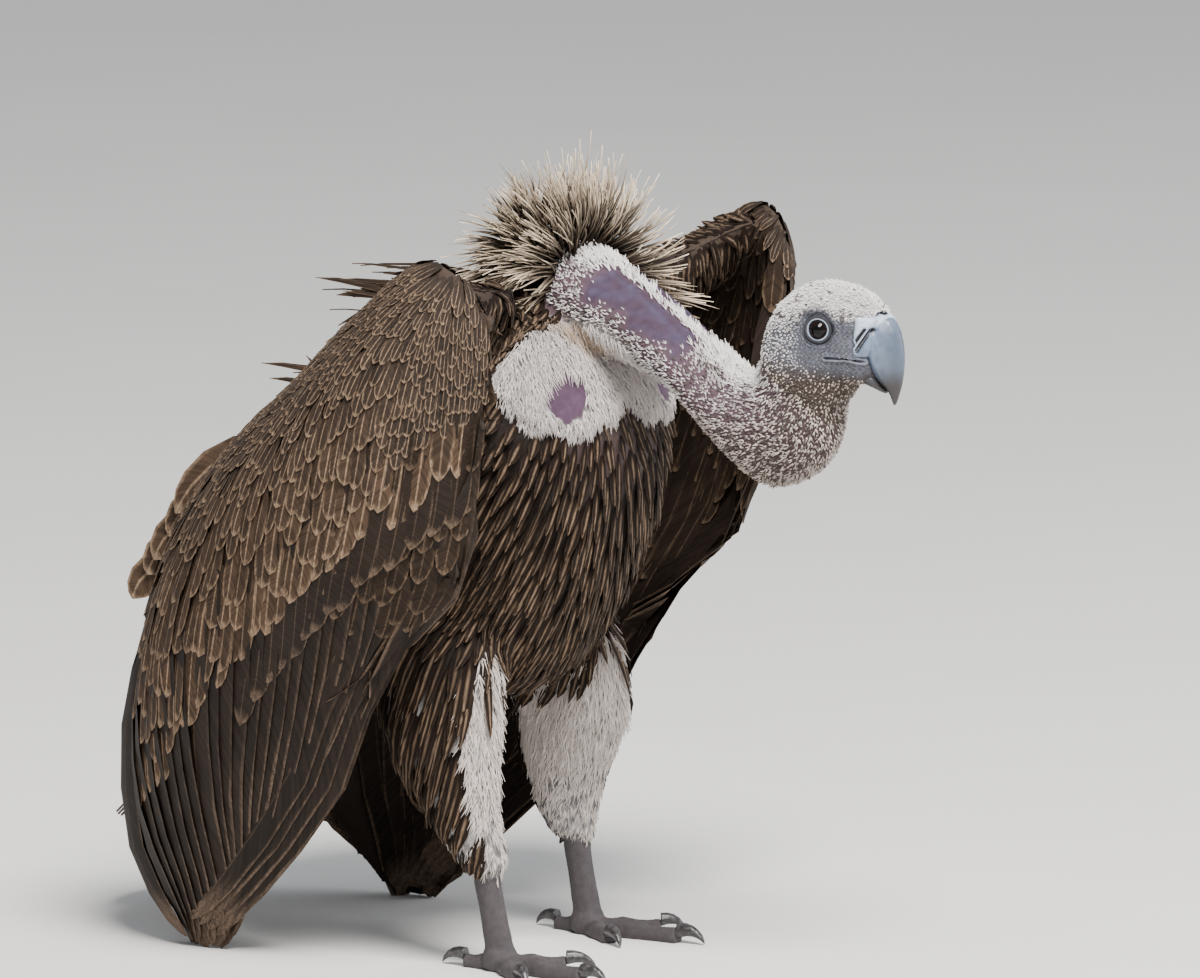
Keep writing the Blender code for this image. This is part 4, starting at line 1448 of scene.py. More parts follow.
    def quill_coverts(self, count=15):
        """Dark coverts over the roots of the outer quills."""
        roots = self.row(0.350, self.sign, count, 0.03, 0.44)
        lengths = np.linspace(0.075, 0.098, count) * self.rng.uniform(0.92, 1.06, count)
        made = leaves(self.tree, roots, self.lie, COVERT_SHAPE, lengths, 0.0030,
                      self.rng.uniform(0.021, 0.025, count), 0.10 * self.sign, base=0.0018)
        return made, self.rng.random(count) * 0.6 + 0.4, 0.0

    def lining(self):
        """Scales of the inner face and of the fold at the wing's front, darkened as painted shade.
        """
        def lined(places, normals):
            front = (normals[:, 1] < -0.15) & (climb(places) < 0.385) & (places[:, 2] > 0.30)
            inner = normals[:, 0] * self.sign < -0.30 - 0.20 * (places[:, 1] < 0.0)
            low = 0.12 + 0.11 * rise(0.08, 0.18, places[:, 1])
            return (inner & (climb(places) > 0.300) | front) & (places[:, 2] > low)

        roots = scatter(self.form.data, lined, lining_spacing, (1.0, 1.0, 0.5), seed=5)
        scale = lining_spacing(roots) / 0.013
        shafts, ups = comb(self.tree, roots, self.lie, 0.055 * scale, SCALE_SHAPE[:, 0],
                           0.0030 * scale)
        kept = unbent(shafts, 0.10)
        return part(vanes(shafts[kept], ups[kept], 0.020 * scale[kept], SCALE_SHAPE), self.rng)


def lay_wing(side, skin):
    wing = Wing(side, skin)
    sign = wing.sign
    coverts = [wing.scales(), wing.long_coverts(), wing.tertials()]
    coat_object(f"coverts_{side}", coverts, covert_material(), "brown_feather", skin)
    quills = [wing.face_quills(sign, sizes().flight_count, 0.02, 0.84),
              wing.face_quills(-sign, 18, 0.03, 0.86), wing.rear_quills(12),
              wing.edge_quills(sign, 4), wing.edge_quills(-sign, 4), wing.quill_coverts()]
    coat_object(f"quills_{side}", quills, flight_material(), "flight_feather", skin,
                f"flight_feathers_{side}")
    coat_object(f"wing_lining_{side}", [wing.lining()], dark_and_shaded_covert_material(), "brown_feather",
                skin)
    drop_object(wing.form)


# ---------------------------------------------------------------- body
def body_lie(place, _normal):
    """Back and down over the trunk, parting at the keel, and out along the shoulders."""
    apart = place.x - MID
    out = max(-1.0, min(1.0, apart / 0.05))
    shoulder = max(0.0, min(1.0, (abs(apart) - 0.10) / 0.06))
    way = Vector((0.16 * out, 0.46, -0.88))
    return way.lerp(Vector((0.35 * out, 0.80, -0.45)), shoulder)


def thigh_lie(_place, _normal):
    return Vector((0.0, 0.28, -1.0))


def thigh_is_brown(places, normals):
    """The outer and rear faces of a thigh are brown, the front and inner ones white."""
    sign = np.where(places[:, 0] > MID, 1.0, -1.0)
    turn = normals[:, 0] * sign * 0.85 + normals[:, 1] * 0.55
    return turn + 2.2 * np.maximum(places[:, 2] - 0.225, 0.0) * 10 > 0.18


def lay_body(skin):
    """Pointed feathers of breast and flanks, small ones on the shoulders, and the mantle."""
    rng = np.random.default_rng(11)

    def plumed(places):
        neck = (np.abs(places[:, 0] - MID) < 0.036) & (places[:, 1] < -0.055)
        bare = (crop_share(places) >= 0.35) | (neck & (places[:, 2] > 0.45))
        return (skin.parts == "trunk") & ~bare | (skin.parts == "shoulder")

    def lance_area(places, normals):
        low = (normals[:, 2] < 0.35) | (places[:, 1] < -0.01) | (places[:, 2] < 0.39)
        return plumed(places) & low

    def shoulder_top(places, normals):
        out = np.abs(places[:, 0] - MID) > 0.045
        return plumed(places) & out & (normals[:, 2] > -0.1) & (places[:, 2] > 0.44)

    def mantle_area(places, normals):
        upper = (normals[:, 2] > 0.25) & (places[:, 1] > -0.022) & (places[:, 2] > 0.38)
        return plumed(places) & upper

    def lance_spacing(places):
        return 0.0056 + 0.0035 * rise(-0.02, 0.10, places[:, 1])

    roots = scatter(skin.mesh, lance_area, lance_spacing, (1.0, 1.0, 0.42), seed=7)
    count = len(roots)
    scale = lance_spacing(roots) / 0.0075
    lengths = sizes().breast_length * scale * rng.uniform(0.75, 1.15, count)
    lengths *= 0.55 + 0.45 * rise(0.0, 0.06, 0.425 - roots[:, 2])
    parts = [part(leaves(skin.tree, roots, body_lie, LANCE_SHAPE, lengths,
                         rng.uniform(0.004, 0.0085, count),
                         0.0105 * scale * rng.uniform(0.8, 1.15, count),
                         rng.normal(0.0, 0.22, count)), rng)]
    roots = scatter(skin.mesh, shoulder_top, 0.0052, seed=8)
    count = len(roots)
    parts.append(part(leaves(skin.tree, roots, body_lie, SCALE_SHAPE,
                             rng.uniform(0.018, 0.028, count), rng.uniform(0.003, 0.005, count),
                             rng.uniform(0.008, 0.011, count)), rng))
    coat_object("breast_feathers", parts, breast_material(), "brown_feather", skin)

    roots = scatter(skin.mesh, mantle_area, 0.0105, (1.0, 0.6, 0.75), seed=9)
    count = len(roots)
    made = leaves(skin.tree, roots, body_lie, COVERT_SHAPE, rng.uniform(0.052, 0.070, count),
                  rng.uniform(0.005, 0.009, count), rng.uniform(0.019, 0.025, count))
    coat_object("mantle", [part(made, rng, 0.3)], covert_material(), "brown_feather", skin)
    lay_wisps(skin)


def lay_wisps(skin, count=50, bunches=5):
    """Loose narrow feathers of the back that the wind lifts towards the rear."""
    rng = np.random.default_rng(12)
    bunch = np.arange(count) % bunches
    across = MID + np.linspace(-0.072, 0.072, bunches)[bunch]
    across = across + rng.uniform(-0.012, 0.012, count)
    back = rng.uniform(0.01, 0.080, bunches)[bunch] + rng.uniform(-0.010, 0.010, count)
    roots = np.array([skin.tree.ray_cast(Vector((x, y, 0.70)), Vector((0.0, 0.0, -1.0)))[0]
                      for x, y in zip(across, back)])
    roots[:, 2] -= 0.004
    lengths = rng.uniform(0.085, 0.125, count)[:, None, None]
    turn = rng.normal(0.0, 0.14, bunches)[bunch] + rng.normal(0.0, 0.09, count)
    lifted = rng.uniform(0.08, 0.34, bunches)[bunch] + rng.normal(0.0, 0.05, count)
    ways = unit(np.stack([turn, np.ones(count), lifted], axis=1))[:, None]
    marks = LANCE_SHAPE[None, :, :1]
    shafts = roots[:, None] + ways * lengths * marks
    shafts[..., 2] -= (0.20 * lengths * marks ** 2)[..., 0]
    ups = np.tile((0.0, 0.0, 1.0), (*shafts.shape[:2], 1))
    made = vanes(shafts, ups, rng.uniform(0.005, 0.009, count), LANCE_SHAPE, camber=0.3,
                 lean=rng.normal(0.0, 0.5, count))
    coat_object("back_wisps", [part(made, rng)], dark_and_shaded_covert_material(), "brown_feather", skin)


def lay_thighs(skin):
    """Brown feathers round the thighs and white down on their inner and front faces."""
    rng = np.random.default_rng(15)

    def brown_area(places, normals):
        near = np.abs(places[:, 0] - MID) < LEG_REACH
        brown = thigh_is_brown(places, normals) & (places[:, 2] > 0.09)
        return (skin.parts == "thigh") & near & brown

    roots = scatter(skin.mesh, brown_area, 0.0068, (1.0, 1.0, 0.45), seed=13)
    count = len(roots)
    low = rise(0.09, 0.20, roots[:, 2])
    made = leaves(skin.tree, roots, thigh_lie, LANCE_SHAPE,
                  (0.026 + 0.034 * low) * rng.uniform(0.8, 1.2, count),
                  rng.uniform(0.005, 0.010, count) * (0.5 + 0.5 * low),
                  rng.uniform(0.007, 0.011, count), rng.normal(0.0, 0.25, count))
    coat_object("thigh_feathers", [part(made, rng)], breast_material(), "brown_feather", skin)
    for side, sign in SIDES.items():
        def white_area(places, normals, sign=sign):
            apart = (places[:, 0] - MID) * sign
            own = (skin.parts == "thigh") & (apart > 0) & (apart < LEG_REACH)
            white = ~thigh_is_brown(places, normals) | (places[:, 2] < 0.10)
            return own & white

        roots = scatter(skin.mesh, white_area, 0.0032, seed=17)
        count = len(roots)
        low = rise(0.078, 0.15, roots[:, 2])
        grey = (rng.random(count) < 0.30 * (1 - low))[:, None]
        # The white down of the thighs is dimmed below the down colour: a warm off-white, with
        # painted shade in it.
        shade = hue("down", (0.74, 0.68, 0.64)) * rng.uniform(0.80, 1.06, (count, 1))
        shade = np.where(grey, hue("leg", 1.4), shade)
        lay_down(skin, f"leg_down_{side}", rng, roots, shade,
                 np.tile((0.0, 0.25, -1.0), (count, 1)), sizes().down_length * (0.42 + 0.62 * low),
                 0.0008 + 0.0003 * low, blades=4, stand=0.42, fan=0.6, seed=19)


# ---------------------------------------------------------------- ruff, neck and head
HEAD_FRONT = -0.3325     # y where the feathered face ends and the cere begins
RUFF_AXIS = Vector((0.0, -0.95, -0.31)).normalized()    # out along the neck
RUFF_SPREAD = math.radians(120)                         # each way from the top
RUFF_ROOT = 0.036
RUFF_REACH = 0.100


def lay_ruff(skin, members=4):
    """Stiff feathers in pointed bunches that fan out round the neck's root and curl back."""
    rng = np.random.default_rng(31)
    bunches = sizes().ruff_count // members
    centre = np.array((MID, RUFF_HIGH.y - 0.0544, RUFF_HIGH.z - 0.0889))
    axis = np.array(RUFF_AXIS)
    up = np.array((0.0, axis[2], -axis[1]))
    angle = rng.uniform(-1.15, 1, bunches) * RUFF_SPREAD
    side = np.minimum(1.0, 2 * np.sin(angle / 2) ** 2)
    back = rng.random(bunches)
    fade = 1.0 - 0.42 * np.minimum(np.abs(angle) / RUFF_SPREAD, 1.0) ** 4
    reach = RUFF_ROOT + (RUFF_REACH - RUFF_ROOT) * fade * rng.uniform(0.50, 1.12, bunches)
    beyond = rise(0.2, 1.2, angle)
    reach = (reach + 0.010 * (rng.random(bunches) < 0.10) * fade) * (1 + 0.18 * beyond)
    front = 0.014 + (0.052 * beyond - 0.016 * (1 - beyond)) * side
    rear = 0.064 - 0.052 * side * beyond
    tip_angle = angle + rng.normal(0.0, 0.13, bunches)
    tip_out = reach * (1 - 0.24 * back * (1 - side))
    tip_along = front * (1 - back) - rear * back + rng.normal(0.0, 0.005, bunches)
    bow = rng.uniform(0.006, 0.020, bunches)

    def around(turn):
        return np.sin(turn)[:, None] * np.array((1.0, 0.0, 0.0)) + np.cos(turn)[:, None] * up

    own = np.repeat(np.arange(bunches), members)
    count = len(own)
    root_turn = angle[own] + rng.normal(0.0, 0.085, count)
    root_along = 0.010 + front * 0.2 - (front * 0.2 + 0.014 + rear * 0.7) * back
    roots = centre + around(root_turn) * (RUFF_ROOT - 0.004) \
        + axis * (root_along[own] + rng.normal(0.0, 0.003, count))[:, None]
    tips = centre + around(tip_angle)[own] * tip_out[own][:, None] \
        + axis * tip_along[own][:, None]
    tips = roots + (tips - roots) * rng.uniform(0.60, 1.12, (count, 1)) \
        + rng.normal(0.0, 0.0030, (count, 3))
    outward = rng.uniform(0.002, 0.007, count) + 0.008 * (side * (1 - beyond))[own]
    middle = (roots + tips) / 2 + axis * bow[own][:, None] \
        + around(tip_angle)[own] * outward[:, None]
    marks = BRISTLE_SHAPE[None, :, :1]
    shafts = roots[:, None] * (1 - marks) ** 2 + middle[:, None] * 2 * marks * (1 - marks) \
        + tips[:, None] * marks ** 2
    droop = 0.010 * rng.random(count) + 0.014 * (1 - beyond)[own]
    shafts[:, :, 2] -= (droop * side[own])[:, None] * marks[..., 0] ** 2
    ups = np.repeat(unit(axis + around(angle)[own] * 0.4)[:, None], len(BRISTLE_SHAPE), axis=1)
    widths = rng.uniform(0.0019, 0.0036, count)
    stiff = vanes(shafts, ups, widths, BRISTLE_SHAPE, camber=0.45,
                  lean=rng.normal(0.0, 0.6, count))
    coat_object("ruff_feathers", [part(stiff, rng)], ruff_material(), "ruff_feather", skin,
                "ruff")


def lay_neck_down(skin):
    """Short down on both sides of the neck, thin round the bare patches."""
    rng = np.random.default_rng(41)

    def area(places, normals):
        downy = np.isin(skin.parts, ("neck_lower", "neck_upper")) & (crop_share(places) < 0.6)
        return downy & (mauve_share(*along_neck(places)) < 0.85)

    def spacing(places):
        run, angle = along_neck(places)
        return 0.0020 + 0.0002 * rise(0.35, 0.9, angle) + 0.0085 * mauve_share(run, angle)

    every = scatter(skin.mesh, area, spacing, seed=43)
    for side, sign in SIDES.items():
        roots = every[(every[:, 0] - MID) * sign > 0]
        count = len(roots)
        run, angle, ways = neck_frame(roots)
        nape = fall(0.30, 1.05, angle)
        low = rise(0.10, 0.17, run)
        vary = rng.uniform(0.7, 1.5, count)
        brown = rng.random(count) < (0.12 + 0.08 * low) * (1 - nape)
        shade = mix(hue("down"), hue("down", (0.72, 0.64, 0.58)), low * rise(0.8, 2.0, angle))
        fold = fall(0.004, 0.012, distance_to_line(folded(roots), *CROP_FOLD))
        shade = mix(shade, hue("fold"), fold * 0.8)
        shade = shade * rng.uniform(0.50, 1.06, (count, 1)) ** (1 - nape)[:, None]
        shade = np.where(brown[:, None], hue("down_brown", 1.1), shade)
        lay_down(skin, f"neck_down_{side}", rng, roots, shade, ways,
                 (0.0024 + 0.0036 * nape) * vary, (0.00070 + 0.00020 * nape) * vary,
                 blades=3, stand=0.85, fan=1.2, seed=47)


def lay_head_down(skin):
    """Very short down on crown, cheeks and throat, thin on the blue-grey face."""
    rng = np.random.default_rng(51)

    def area(places, normals):
        front = HEAD_FRONT - 0.013 * rise(0.5150, 0.5175, places[:, 2])
        bare = (eye_away(places) < 0.0150) | (places[:, 1] < front)
        groove = distance_to_line(folded(places), GAPE[0], GAPE[2]) < 0.0030
        return (skin.parts == "head") & ~bare & ~groove

    def spacing(places):
        return 0.0020 - 0.0002 * rise(0.500, 0.522, places[:, 2]) + 0.0009 * face_share(places)

    roots = scatter(skin.mesh, area, spacing, seed=53)
    count = len(roots)
    height = roots[:, 2]
    crown = rise(0.500, 0.522, height)
    throat = fall(0.462, 0.488, height)
    face = face_share(roots)
    lengths = (0.0017 + 0.0016 * crown - 0.0009 * face) * rng.uniform(0.65, 1.35, count)
    cheek = rise(0.466, 0.484, height) * fall(0.508, 0.516, height)
    cheek = cheek * fall(-0.285, -0.272, roots[:, 1])
    dark = rng.random(count) < 0.07 + 0.50 * throat + 0.16 * face
    shade = mix(hue("down"), hue("down", (0.72, 0.62, 0.54)), throat)
    shade = mix(shade, hue("face", 1.7), np.maximum(face * 0.85, cheek * 0.65))
    shade = shade * rng.uniform(0.60, 1.05, (count, 1)) ** (1 - crown)[:, None]
    shade = np.where(dark[:, None], hue("down_brown"), shade)
    lay_down(skin, "head_down", rng, roots, shade, neck_frame(roots)[2], lengths,
             0.00070 + 0.00010 * crown - 0.0003 * face, blades=3, stand=0.75, fan=1.4, seed=57)


def lay_crop_down(skin):
    """Longer curling down on the white lobes over the crop."""
    rng = np.random.default_rng(61)

    def area(places, normals):
        soft = (crop_share(places) > 0.12) & (skin.parts == "trunk")
        soft |= (crop_share(places) >= 0.6) & (skin.parts == "neck_lower")
        return soft & (normals[:, 1] < 0.5) & (crop_bare_share(places) < 0.6)

    roots = scatter(skin.mesh, area, 0.0026, seed=63)
    count = len(roots)
    # The crop down is dimmed below the down colour: a warm off-white, with painted shade in it.
    shade = hue("down", (0.80, 0.76, 0.745)) * rng.uniform(0.80, 1.06, (count, 1))
    fold = fall(0.005, 0.014, distance_to_line(folded(roots), *CROP_FOLD))
    shade = mix(shade, hue("fold"), fold * 0.8)
    lay_down(skin, "crop_down", rng, roots, shade, np.tile((0.0, 0.0, -1.0), (count, 1)),
             sizes().down_length * (0.45 + 0.30 * crop_share(roots)), np.full(count, 0.0008),
             blades=4, stand=0.8, fan=1.1, seed=67, curl=0.7)


# ---------------------------------------------------------------- tail
TAIL_UP = (0.0, 0.66, 0.75)     # the way that the upper side of the tail faces


def lay_tail(skin, count=12, rows=3):
    """Broad feathers that spread from the rump, with rows of coverts over them."""
    rng = np.random.default_rng(71)
    fan = np.linspace(-1.0, 1.0, count)
    low, high = TAIL_LOW, TAIL_HIGH
    roots = np.stack([MID + fan * 0.016, np.full(count, low.y + 0.012),
                      np.full(count, high.z - 0.016)], axis=1)
    tips = np.stack([MID + fan * 0.058, high.y - 0.002 - 0.020 * fan ** 2,
                     low.z + 0.004 + 0.014 * fan ** 2], axis=1)
    marks = QUILL_SHAPE[None, :, :1]
    shafts = roots[:, None] + (tips - roots)[:, None] * marks
    shafts[..., 2] += 0.010 * np.sin(math.pi * marks[..., 0])
    layer = 0.0012 * (count - 1 - np.arange(count))[:, None] / count
    shafts[..., 2] -= 0.004 * np.abs(fan)[:, None] - layer
    ups = np.tile(TAIL_UP, (count, len(QUILL_SHAPE), 1))
    ups = unit(ups + np.array((1.0, 0, 0)) * (fan * 0.35)[:, None, None])
    quills = vanes(shafts, ups, 0.036, QUILL_SHAPE, thickness=0.0008, camber=0.08)
    coat_object("tail_feathers", [part(quills, rng)], flight_material(), "flight_feather", skin,
                "tail")
    parts = []
    for row in range(rows):
        count = 8 - row
        fan = np.linspace(-1.0, 1.0, count)
        start = np.stack([MID + fan * 0.030, np.full(count, low.y - 0.006 + 0.014 * row),
                          np.full(count, high.z + 0.014 - 0.013 * row)], axis=1)
        end = start + np.stack([fan * 0.018, np.full(count, 0.068), np.full(count, -0.062)],
                               axis=1)
        marks = COVERT_SHAPE[None, :, :1]
        shafts = start[:, None] + (end - start)[:, None] * marks
        shafts[..., 2] += 0.006 * np.sin(math.pi * marks[..., 0]) + 0.004 - 0.001 * row
        ups = np.tile(TAIL_UP, (count, len(COVERT_SHAPE), 1))
        parts.append(part(vanes(shafts, ups, 0.028, COVERT_SHAPE), rng))
    coat_object("tail_coverts", parts, dark_and_shaded_covert_material(), "brown_feather", skin)


# ---------------------------------------------------------------- bill, eyes, claws
CERE_SLOPE = 0.59       # y + CERE_SLOPE * z is the same along the cere's front edge
CERE_LINE = -0.0441
NOSTRIL = ((0.0, -0.3338, 0.4905), (0.0, -0.3424, 0.5065))
NOSTRIL_FOLD = ((0.0, -0.3316, 0.4945), (0.0, -0.3384, 0.5068))
FACE_CUT = (-0.3300, 0.4860, 0.5172)    # where the head gives way to the cere: y, lowest z, top z
BILL_GRAIN = 0.00068


def make_bill():
    """Upper bill grown together with the cere on the front of the head, and the lower bill."""
    rear, low, high = FACE_CUT
    cere = copy_nodes("cere", ["head"], 0.0005)
    corners = Vector((MID - 0.05, rear - 0.05, low)), Vector((MID + 0.05, rear, high))
    box = new_primitive("cube", size=1.0, location=(corners[0] + corners[1]) / 2,
                        scale=corners[1] - corners[0])
    apply_modifier(cere, "BOOLEAN", operation="INTERSECT", solver="MANIFOLD", object=box)
    drop_object(box)
    upper = copy_nodes("beak_upper", ["bill_upper"], 0.0005)
    select_only(upper)
    cere.select_set(True)
    bpy.ops.object.join()
    regrow(upper, BILL_GRAIN, 14)
    mesh = upper.data
    places = points_of(mesh)
    deep = np.clip((places[:, 1] + 0.358) / 0.026, 0.0, 1.0)
    lowly = rise(0.456, 0.470, places[:, 2]) * fall(0.482, 0.492, places[:, 2])
    places[:, 1] += 0.0060 * deep * lowly
    flat = places * (0.0, 1.0, 1.0)
    beside = rise(0.006, 0.010, np.abs(places[:, 0] - MID))
    slit = distance_to_line(flat, *NOSTRIL)
    fold = distance_to_line(flat, *NOSTRIL_FOLD)
    move = -0.0036 * bump_at(slit, 0.0016) - 0.0032 * bump_at(fold, 0.0013)
    front = places[:, 1] + CERE_SLOPE * places[:, 2] - CERE_LINE
    move += 0.0005 * rise(-0.0010, 0.0006, front) * (places[:, 2] > 0.490)
    move = move * beside
    move -= 0.0026 * rise(rear - 0.0034, rear, places[:, 1])
    move -= 0.0020 * rise(high - 0.0040, high, places[:, 2])
    set_points(mesh, places + normals_of(mesh) * move[:, None])
    # Painted shade: the carved nostril slit and the groove beside it are marked to be painted
    # near-black.
    nostril_shade = np.maximum(fall(0.0012, 0.0018, slit), fall(0.0010, 0.0015, fold))
    set_values(mesh, "zone", np.clip(nostril_shade * beside, 0, 1))
    lower = copy_nodes("beak_lower", ["bill_lower"], 0.0004)
    regrow(lower, BILL_GRAIN, 8)
    dress(upper, horn_material("bill horn", CERE_LINE, 1.0), "bill_horn", "bill_upper")
    # The lower bill takes the horn at 0.55 of its colour: painted shade under the upper bill.
    dress(lower, horn_material("lower bill horn", 1.0, 0.55), "bill_horn", "bill_lower")


def horn_material(name, cere_line, shade):
    """Blue-grey horn with growth lines, painted shade towards the front, a pale cere behind a line,
    a brown hook, and painted shade in the nostrils.
    """
    horn = hue("bill", shade)
    finish = Finish(name, 0.36)
    times, scaled, ramp = finish.times, finish.scaled, finish.ramp
    place = finish.place()
    _, y, z = finish.add("SeparateXYZ", {0: place}).outputs
    uneven = finish.mottle(150.0)
    stretched = finish.add("Mapping", {"Vector": place, "Scale": (1.0, 1.0, 0.16)}).outputs[0]
    grain = finish.noise(stretched, 620.0, 3.0)
    colour = finish.mix(ramp(grain, 0.40, 0.66), horn, horn * 0.78)
    colour = finish.mix(times(uneven["Broad"], 0.4), colour, np.minimum(1.0, horn * 1.7))
    # Painted shade: the horn darkens towards the front of the bill.
    shaded_front = ramp(times(y, -1.0), 0.341, 0.358)
    colour = finish.mix(times(shaded_front, 0.8), colour, horn * 0.42)
    tip = finish.maths("SUBTRACT", 1.0, ramp(scaled(grain, 0.006, z), 0.465, 0.486))
    colour = finish.mix(times(tip, 0.95), colour, hue("bill_tip"))
    front = scaled(uneven["Fine"], 0.0009, scaled(z, CERE_SLOPE, y))
    cere = times(ramp(front, cere_line - 0.0002, cere_line + 0.0012), ramp(z, 0.486, 0.493))
    waxy = finish.mix(times(uneven["Broad"], 0.7), hue("cere"), hue("cere", 0.55))
    colour = finish.mix(cere, colour, waxy)
    # Painted shade: near-black where the zone marks the nostril slit and its groove.
    colour = finish.mix(finish.value("zone"), colour, (0.006, 0.006, 0.007))
    finish.feed("Base Color", colour)
    finish.feed("Roughness", scaled(cere, 0.16, scaled(grain, 0.2, 0.26)))
    finish.bump(grain, 0.35, 0.0004)
    return finish.material


def eye_material():
    """Pupil, dark iris and pale ring by the distance out from the eye's axis."""
    finish = Finish("eye", 0.05, Specular_IOR_Level=0.18)
    out = finish.value("zone")
    flecks = finish.ramp(finish.noise(finish.place(), 900.0, 4.0), 0.4, 0.65)
    colour = finish.mix(flecks, (0.004, 0.0025, 0.002), (0.008, 0.004, 0.003))
    colour = finish.mix(finish.ramp(out, 0.42, 0.47), (0.002,) * 3, colour)
    colour = finish.mix(finish.ramp(out, 0.72, 0.80), colour, (0.012, 0.010, 0.011))
    colour = finish.mix(finish.ramp(out, 0.86, 0.92), colour, hue("cere", 0.55))
    finish.feed("Base Color", colour)
    return finish.material


def make_eyes():
    material = eye_material()
    for side, sign in SIDES.items():
        eye = new_primitive("uv_sphere", segments=72, ring_count=44, radius=EYE_RADIUS - 0.0003,
                            location=EYES[side], rotation=(0.0, math.radians(90), 0.0))
        eye.name = f"eyeball_{side}"
        places = points_of(eye.data)
        around, out, _ = eye_frame(places)
        share = np.where(out > 0, around / EYE_RADIUS, 1.0)
        cornea = 0.0005 * fall(0.25, 0.62, share)
        set_points(eye.data, places + np.array(eye_axis(sign)) * cornea[:, None])
        set_values(eye.data, "zone", share)
        dress(eye, material, "eye_dark", f"eye_{side}")


def claw_material():
    finish = Finish("claw horn", 0.34)
    place = finish.place()
    grain = finish.noise(place, 340.0, 5.0)
    z = finish.add("SeparateXYZ", {0: place}).outputs[2]
    colour = finish.mix(finish.ramp(grain, 0.42, 0.7), hue("claw"), hue("claw", 3.4))
    root = finish.ramp(z, 0.012, 0.020)
    finish.feed("Base Color", finish.mix(finish.times(root, 0.5), colour, hue("leg")))
    finish.feed("Roughness", finish.scaled(grain, 0.3, 0.2))
    finish.bump(grain, 0.4, 0.0004)
    return finish.material


def make_claws():
    material = claw_material()
    for side in SIDES:
        nodes = [f"claw_{toe}_{side}" for toe in ("middle", "outer", "inner", "hind")]
        claws = copy_nodes(f"talons_{side}", nodes, 0.0002)
        regrow(claws, 0.0007, 4)
        dress(claws, material, "claw_horn", *nodes)


# ---------------------------------------------------------------- stage
def floor_material():
    finish = Finish("floor", 0.85)
    cloud = finish.noise(finish.place(), 3.0, 6.0)
    finish.feed("Base Color", finish.mix(cloud, (0.70, 0.69, 0.67), (0.76, 0.75, 0.73)))
    return finish.material


def aim_at(body, target):
    way = Vector(target) - body.location
    body.rotation_euler = way.to_track_quat("-Z", "Y").to_euler()


def add_area_light(name, place, target, width, power, tone):
    data = bpy.data.lights.new(name, "AREA")
    data.shape = "DISK"
    data.size = width
    data.energy = power
    data.color = tone
    light = add_object(name, data)
    light.location = place
    aim_at(light, target)


def set_stage():
    studio = bpy.context.scene.vulture_studio
    floor = new_primitive("plane", size=60.0, location=(0.0, 0.0, 0.0))
    floor.name = "floor"
    floor.data.materials.append(floor_material())
    middle = Vector((MID, 0.0, 0.32))
    add_area_light("key", middle + Vector((-1.9, -2.5, 4.4)), middle, 2.4, studio.key,
                   (1.0, 0.975, 0.94))
    add_area_light("fill", middle + Vector((3.4, -4.0, 1.8)), middle, 4.0, studio.fill,
                   (0.93, 0.96, 1.0))
    world = bpy.data.worlds.new("sky")
    world.use_nodes = True
    background = world.node_tree.nodes["Background"]
    background.inputs["Color"].default_value = (0.92, 0.95, 1.0, 1.0)
    background.inputs["Strength"].default_value = studio.sky
    bpy.context.scene.world = world
    data = bpy.data.cameras.new("camera")
    data.sensor_width = 36.0
    data.lens = studio.lens
    data.clip_end = 200.0
    camera = add_object("camera", data)
    flat = math.cos(studio.elevation) * studio.distance
    camera.location = Vector(studio.aim) + Vector((math.sin(studio.azimuth) * flat,
                                                   -math.cos(studio.azimuth) * flat,
                                                   math.sin(studio.elevation) * studio.distance))
    aim_at(camera, studio.aim)
    bpy.context.scene.camera = camera


# ---------------------------------------------------------------- operators
class VULTURE_OT_skin(bpy.types.Operator):
    """Grow the one skin that stands for all the flesh parts"""
    bl_idname = "vulture.skin"
    bl_label = "Skin"

    def execute(self, context):
        make_skin()
        return {"FINISHED"}


class VULTURE_OT_wings(bpy.types.Operator):
    """Lay coverts, quills and lining on both wings"""
    bl_idname = "vulture.wings"
    bl_label = "Wing feathers"

    def execute(self, context):
        for side in SIDES:
            lay_wing(side, MADE["skin"])
        return {"FINISHED"}


class VULTURE_OT_plumage(bpy.types.Operator):
    """Lay the breast, flank and mantle feathers"""
    bl_idname = "vulture.plumage"
    bl_label = "Body feathers"

    def execute(self, context):
        lay_body(MADE["skin"])
        return {"FINISHED"}


class VULTURE_OT_legs(bpy.types.Operator):
    """Lay the brown feathers and the white down of the legs"""
    bl_idname = "vulture.legs"
    bl_label = "Leg feathers"

    def execute(self, context):
        lay_thighs(MADE["skin"])
        return {"FINISHED"}


class VULTURE_OT_ruff(bpy.types.Operator):
    """Fan out the stiff feathers of the ruff"""
    bl_idname = "vulture.ruff"
    bl_label = "Ruff"

    def execute(self, context):
        lay_ruff(MADE["skin"])
        return {"FINISHED"}


class VULTURE_OT_down(bpy.types.Operator):
    """Root the short down of neck, head and crop"""
    bl_idname = "vulture.down"
    bl_label = "Neck, head and crop down"

    def execute(self, context):
        for lay in (lay_neck_down, lay_head_down, lay_crop_down):
            lay(MADE["skin"])
        return {"FINISHED"}


class VULTURE_OT_tail(bpy.types.Operator):
    """Spread the tail feathers and their coverts"""
    bl_idname = "vulture.tail"
    bl_label = "Tail"

    def execute(self, context):
        lay_tail(MADE["skin"])
        return {"FINISHED"}


class VULTURE_OT_bill(bpy.types.Operator):
    """Shape the upper bill with its cere and nostrils, and the lower bill"""
    bl_idname = "vulture.bill"
    bl_label = "Bill"

    def execute(self, context):
        make_bill()
        return {"FINISHED"}


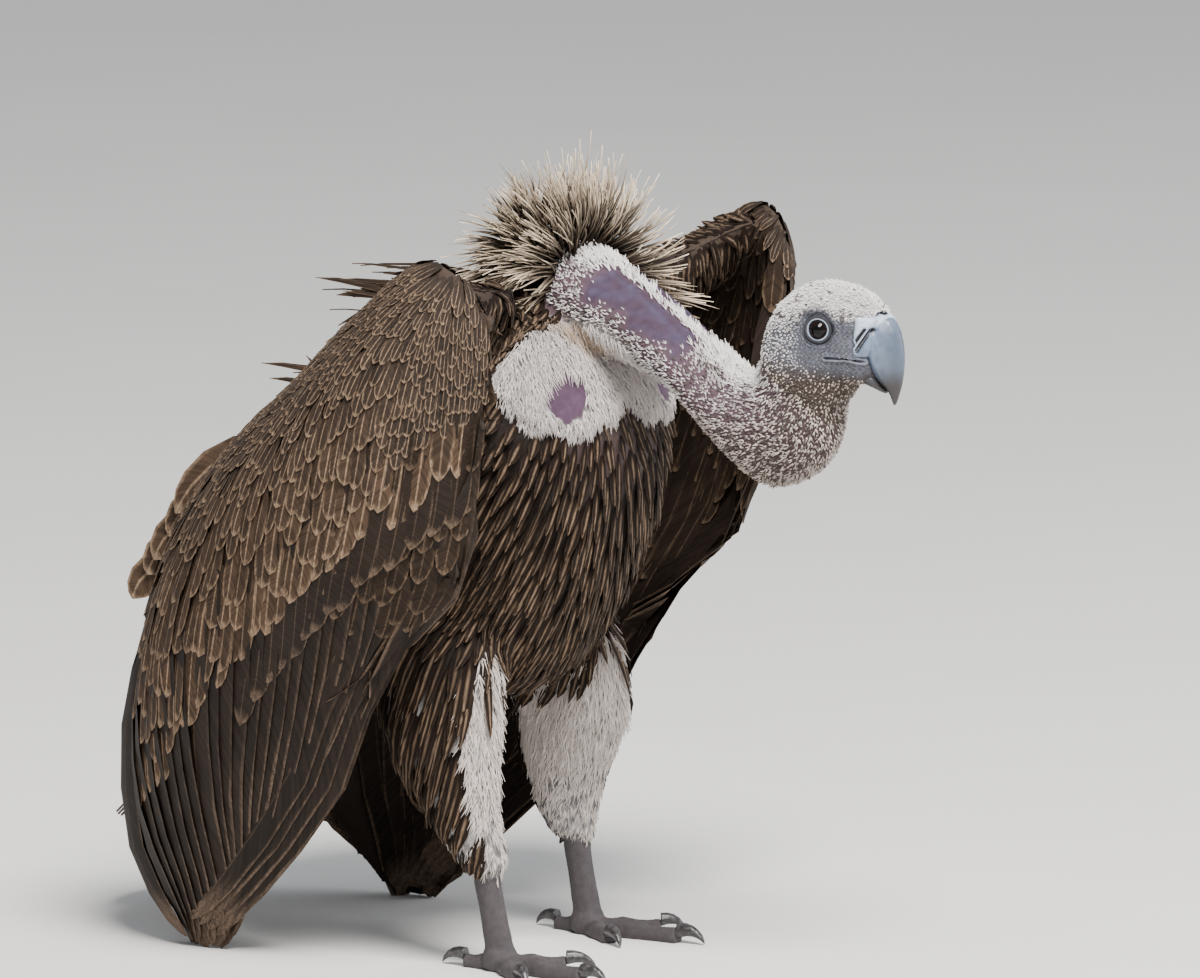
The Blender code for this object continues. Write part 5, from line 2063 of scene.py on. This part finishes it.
class VULTURE_OT_eyes(bpy.types.Operator):
    """Shape both eyes with iris, pupil and pale ring"""
    bl_idname = "vulture.eyes"
    bl_label = "Eyes"

    def execute(self, context):
        make_eyes()
        return {"FINISHED"}


class VULTURE_OT_claws(bpy.types.Operator):
    """Shape the four claws of each foot"""
    bl_idname = "vulture.claws"
    bl_label = "Claws"

    def execute(self, context):
        make_claws()
        return {"FINISHED"}


class VULTURE_OT_stage(bpy.types.Operator):
    """Set the floor, the lights, the sky and the camera"""
    bl_idname = "vulture.stage"
    bl_label = "Stage"

    def execute(self, context):
        set_stage()
        return {"FINISHED"}


OPERATORS = (VULTURE_OT_skin, VULTURE_OT_wings, VULTURE_OT_plumage, VULTURE_OT_legs,
             VULTURE_OT_ruff, VULTURE_OT_down, VULTURE_OT_tail, VULTURE_OT_bill,
             VULTURE_OT_eyes, VULTURE_OT_claws, VULTURE_OT_stage)
GROUPS = {"vulture_sizes": VultureSizes, "vulture_colours": VultureColours,
          "vulture_studio": VultureStudio}


class VULTURE_PT_panel(bpy.types.Panel):
    """Sizes, colours and building steps of the vulture"""
    bl_idname = "VULTURE_PT_panel"
    bl_label = "White-backed vulture"
    bl_space_type = "VIEW_3D"
    bl_region_type = "UI"
    bl_category = "Vulture"

    def draw(self, context):
        for operator in OPERATORS:
            self.layout.operator(operator.bl_idname)
        for name, group in GROUPS.items():
            box = self.layout.box()
            for label in group.__annotations__:
                box.prop(getattr(context.scene, name), label)


def register():
    for group in GROUPS.values():
        bpy.utils.register_class(group)
    for name, group in GROUPS.items():
        setattr(bpy.types.Scene, name, bpy.props.PointerProperty(type=group))
    for operator in (*OPERATORS, VULTURE_PT_panel):
        bpy.utils.register_class(operator)


def unregister():
    for operator in reversed((*OPERATORS, VULTURE_PT_panel)):
        bpy.utils.unregister_class(operator)
    for name, group in GROUPS.items():
        delattr(bpy.types.Scene, name)
        bpy.utils.unregister_class(group)


def main():
    register()
    for operator in OPERATORS:
        kind, name = operator.bl_idname.split(".")
        getattr(getattr(bpy.ops, kind), name)()


if __name__ == "__main__":
    main()
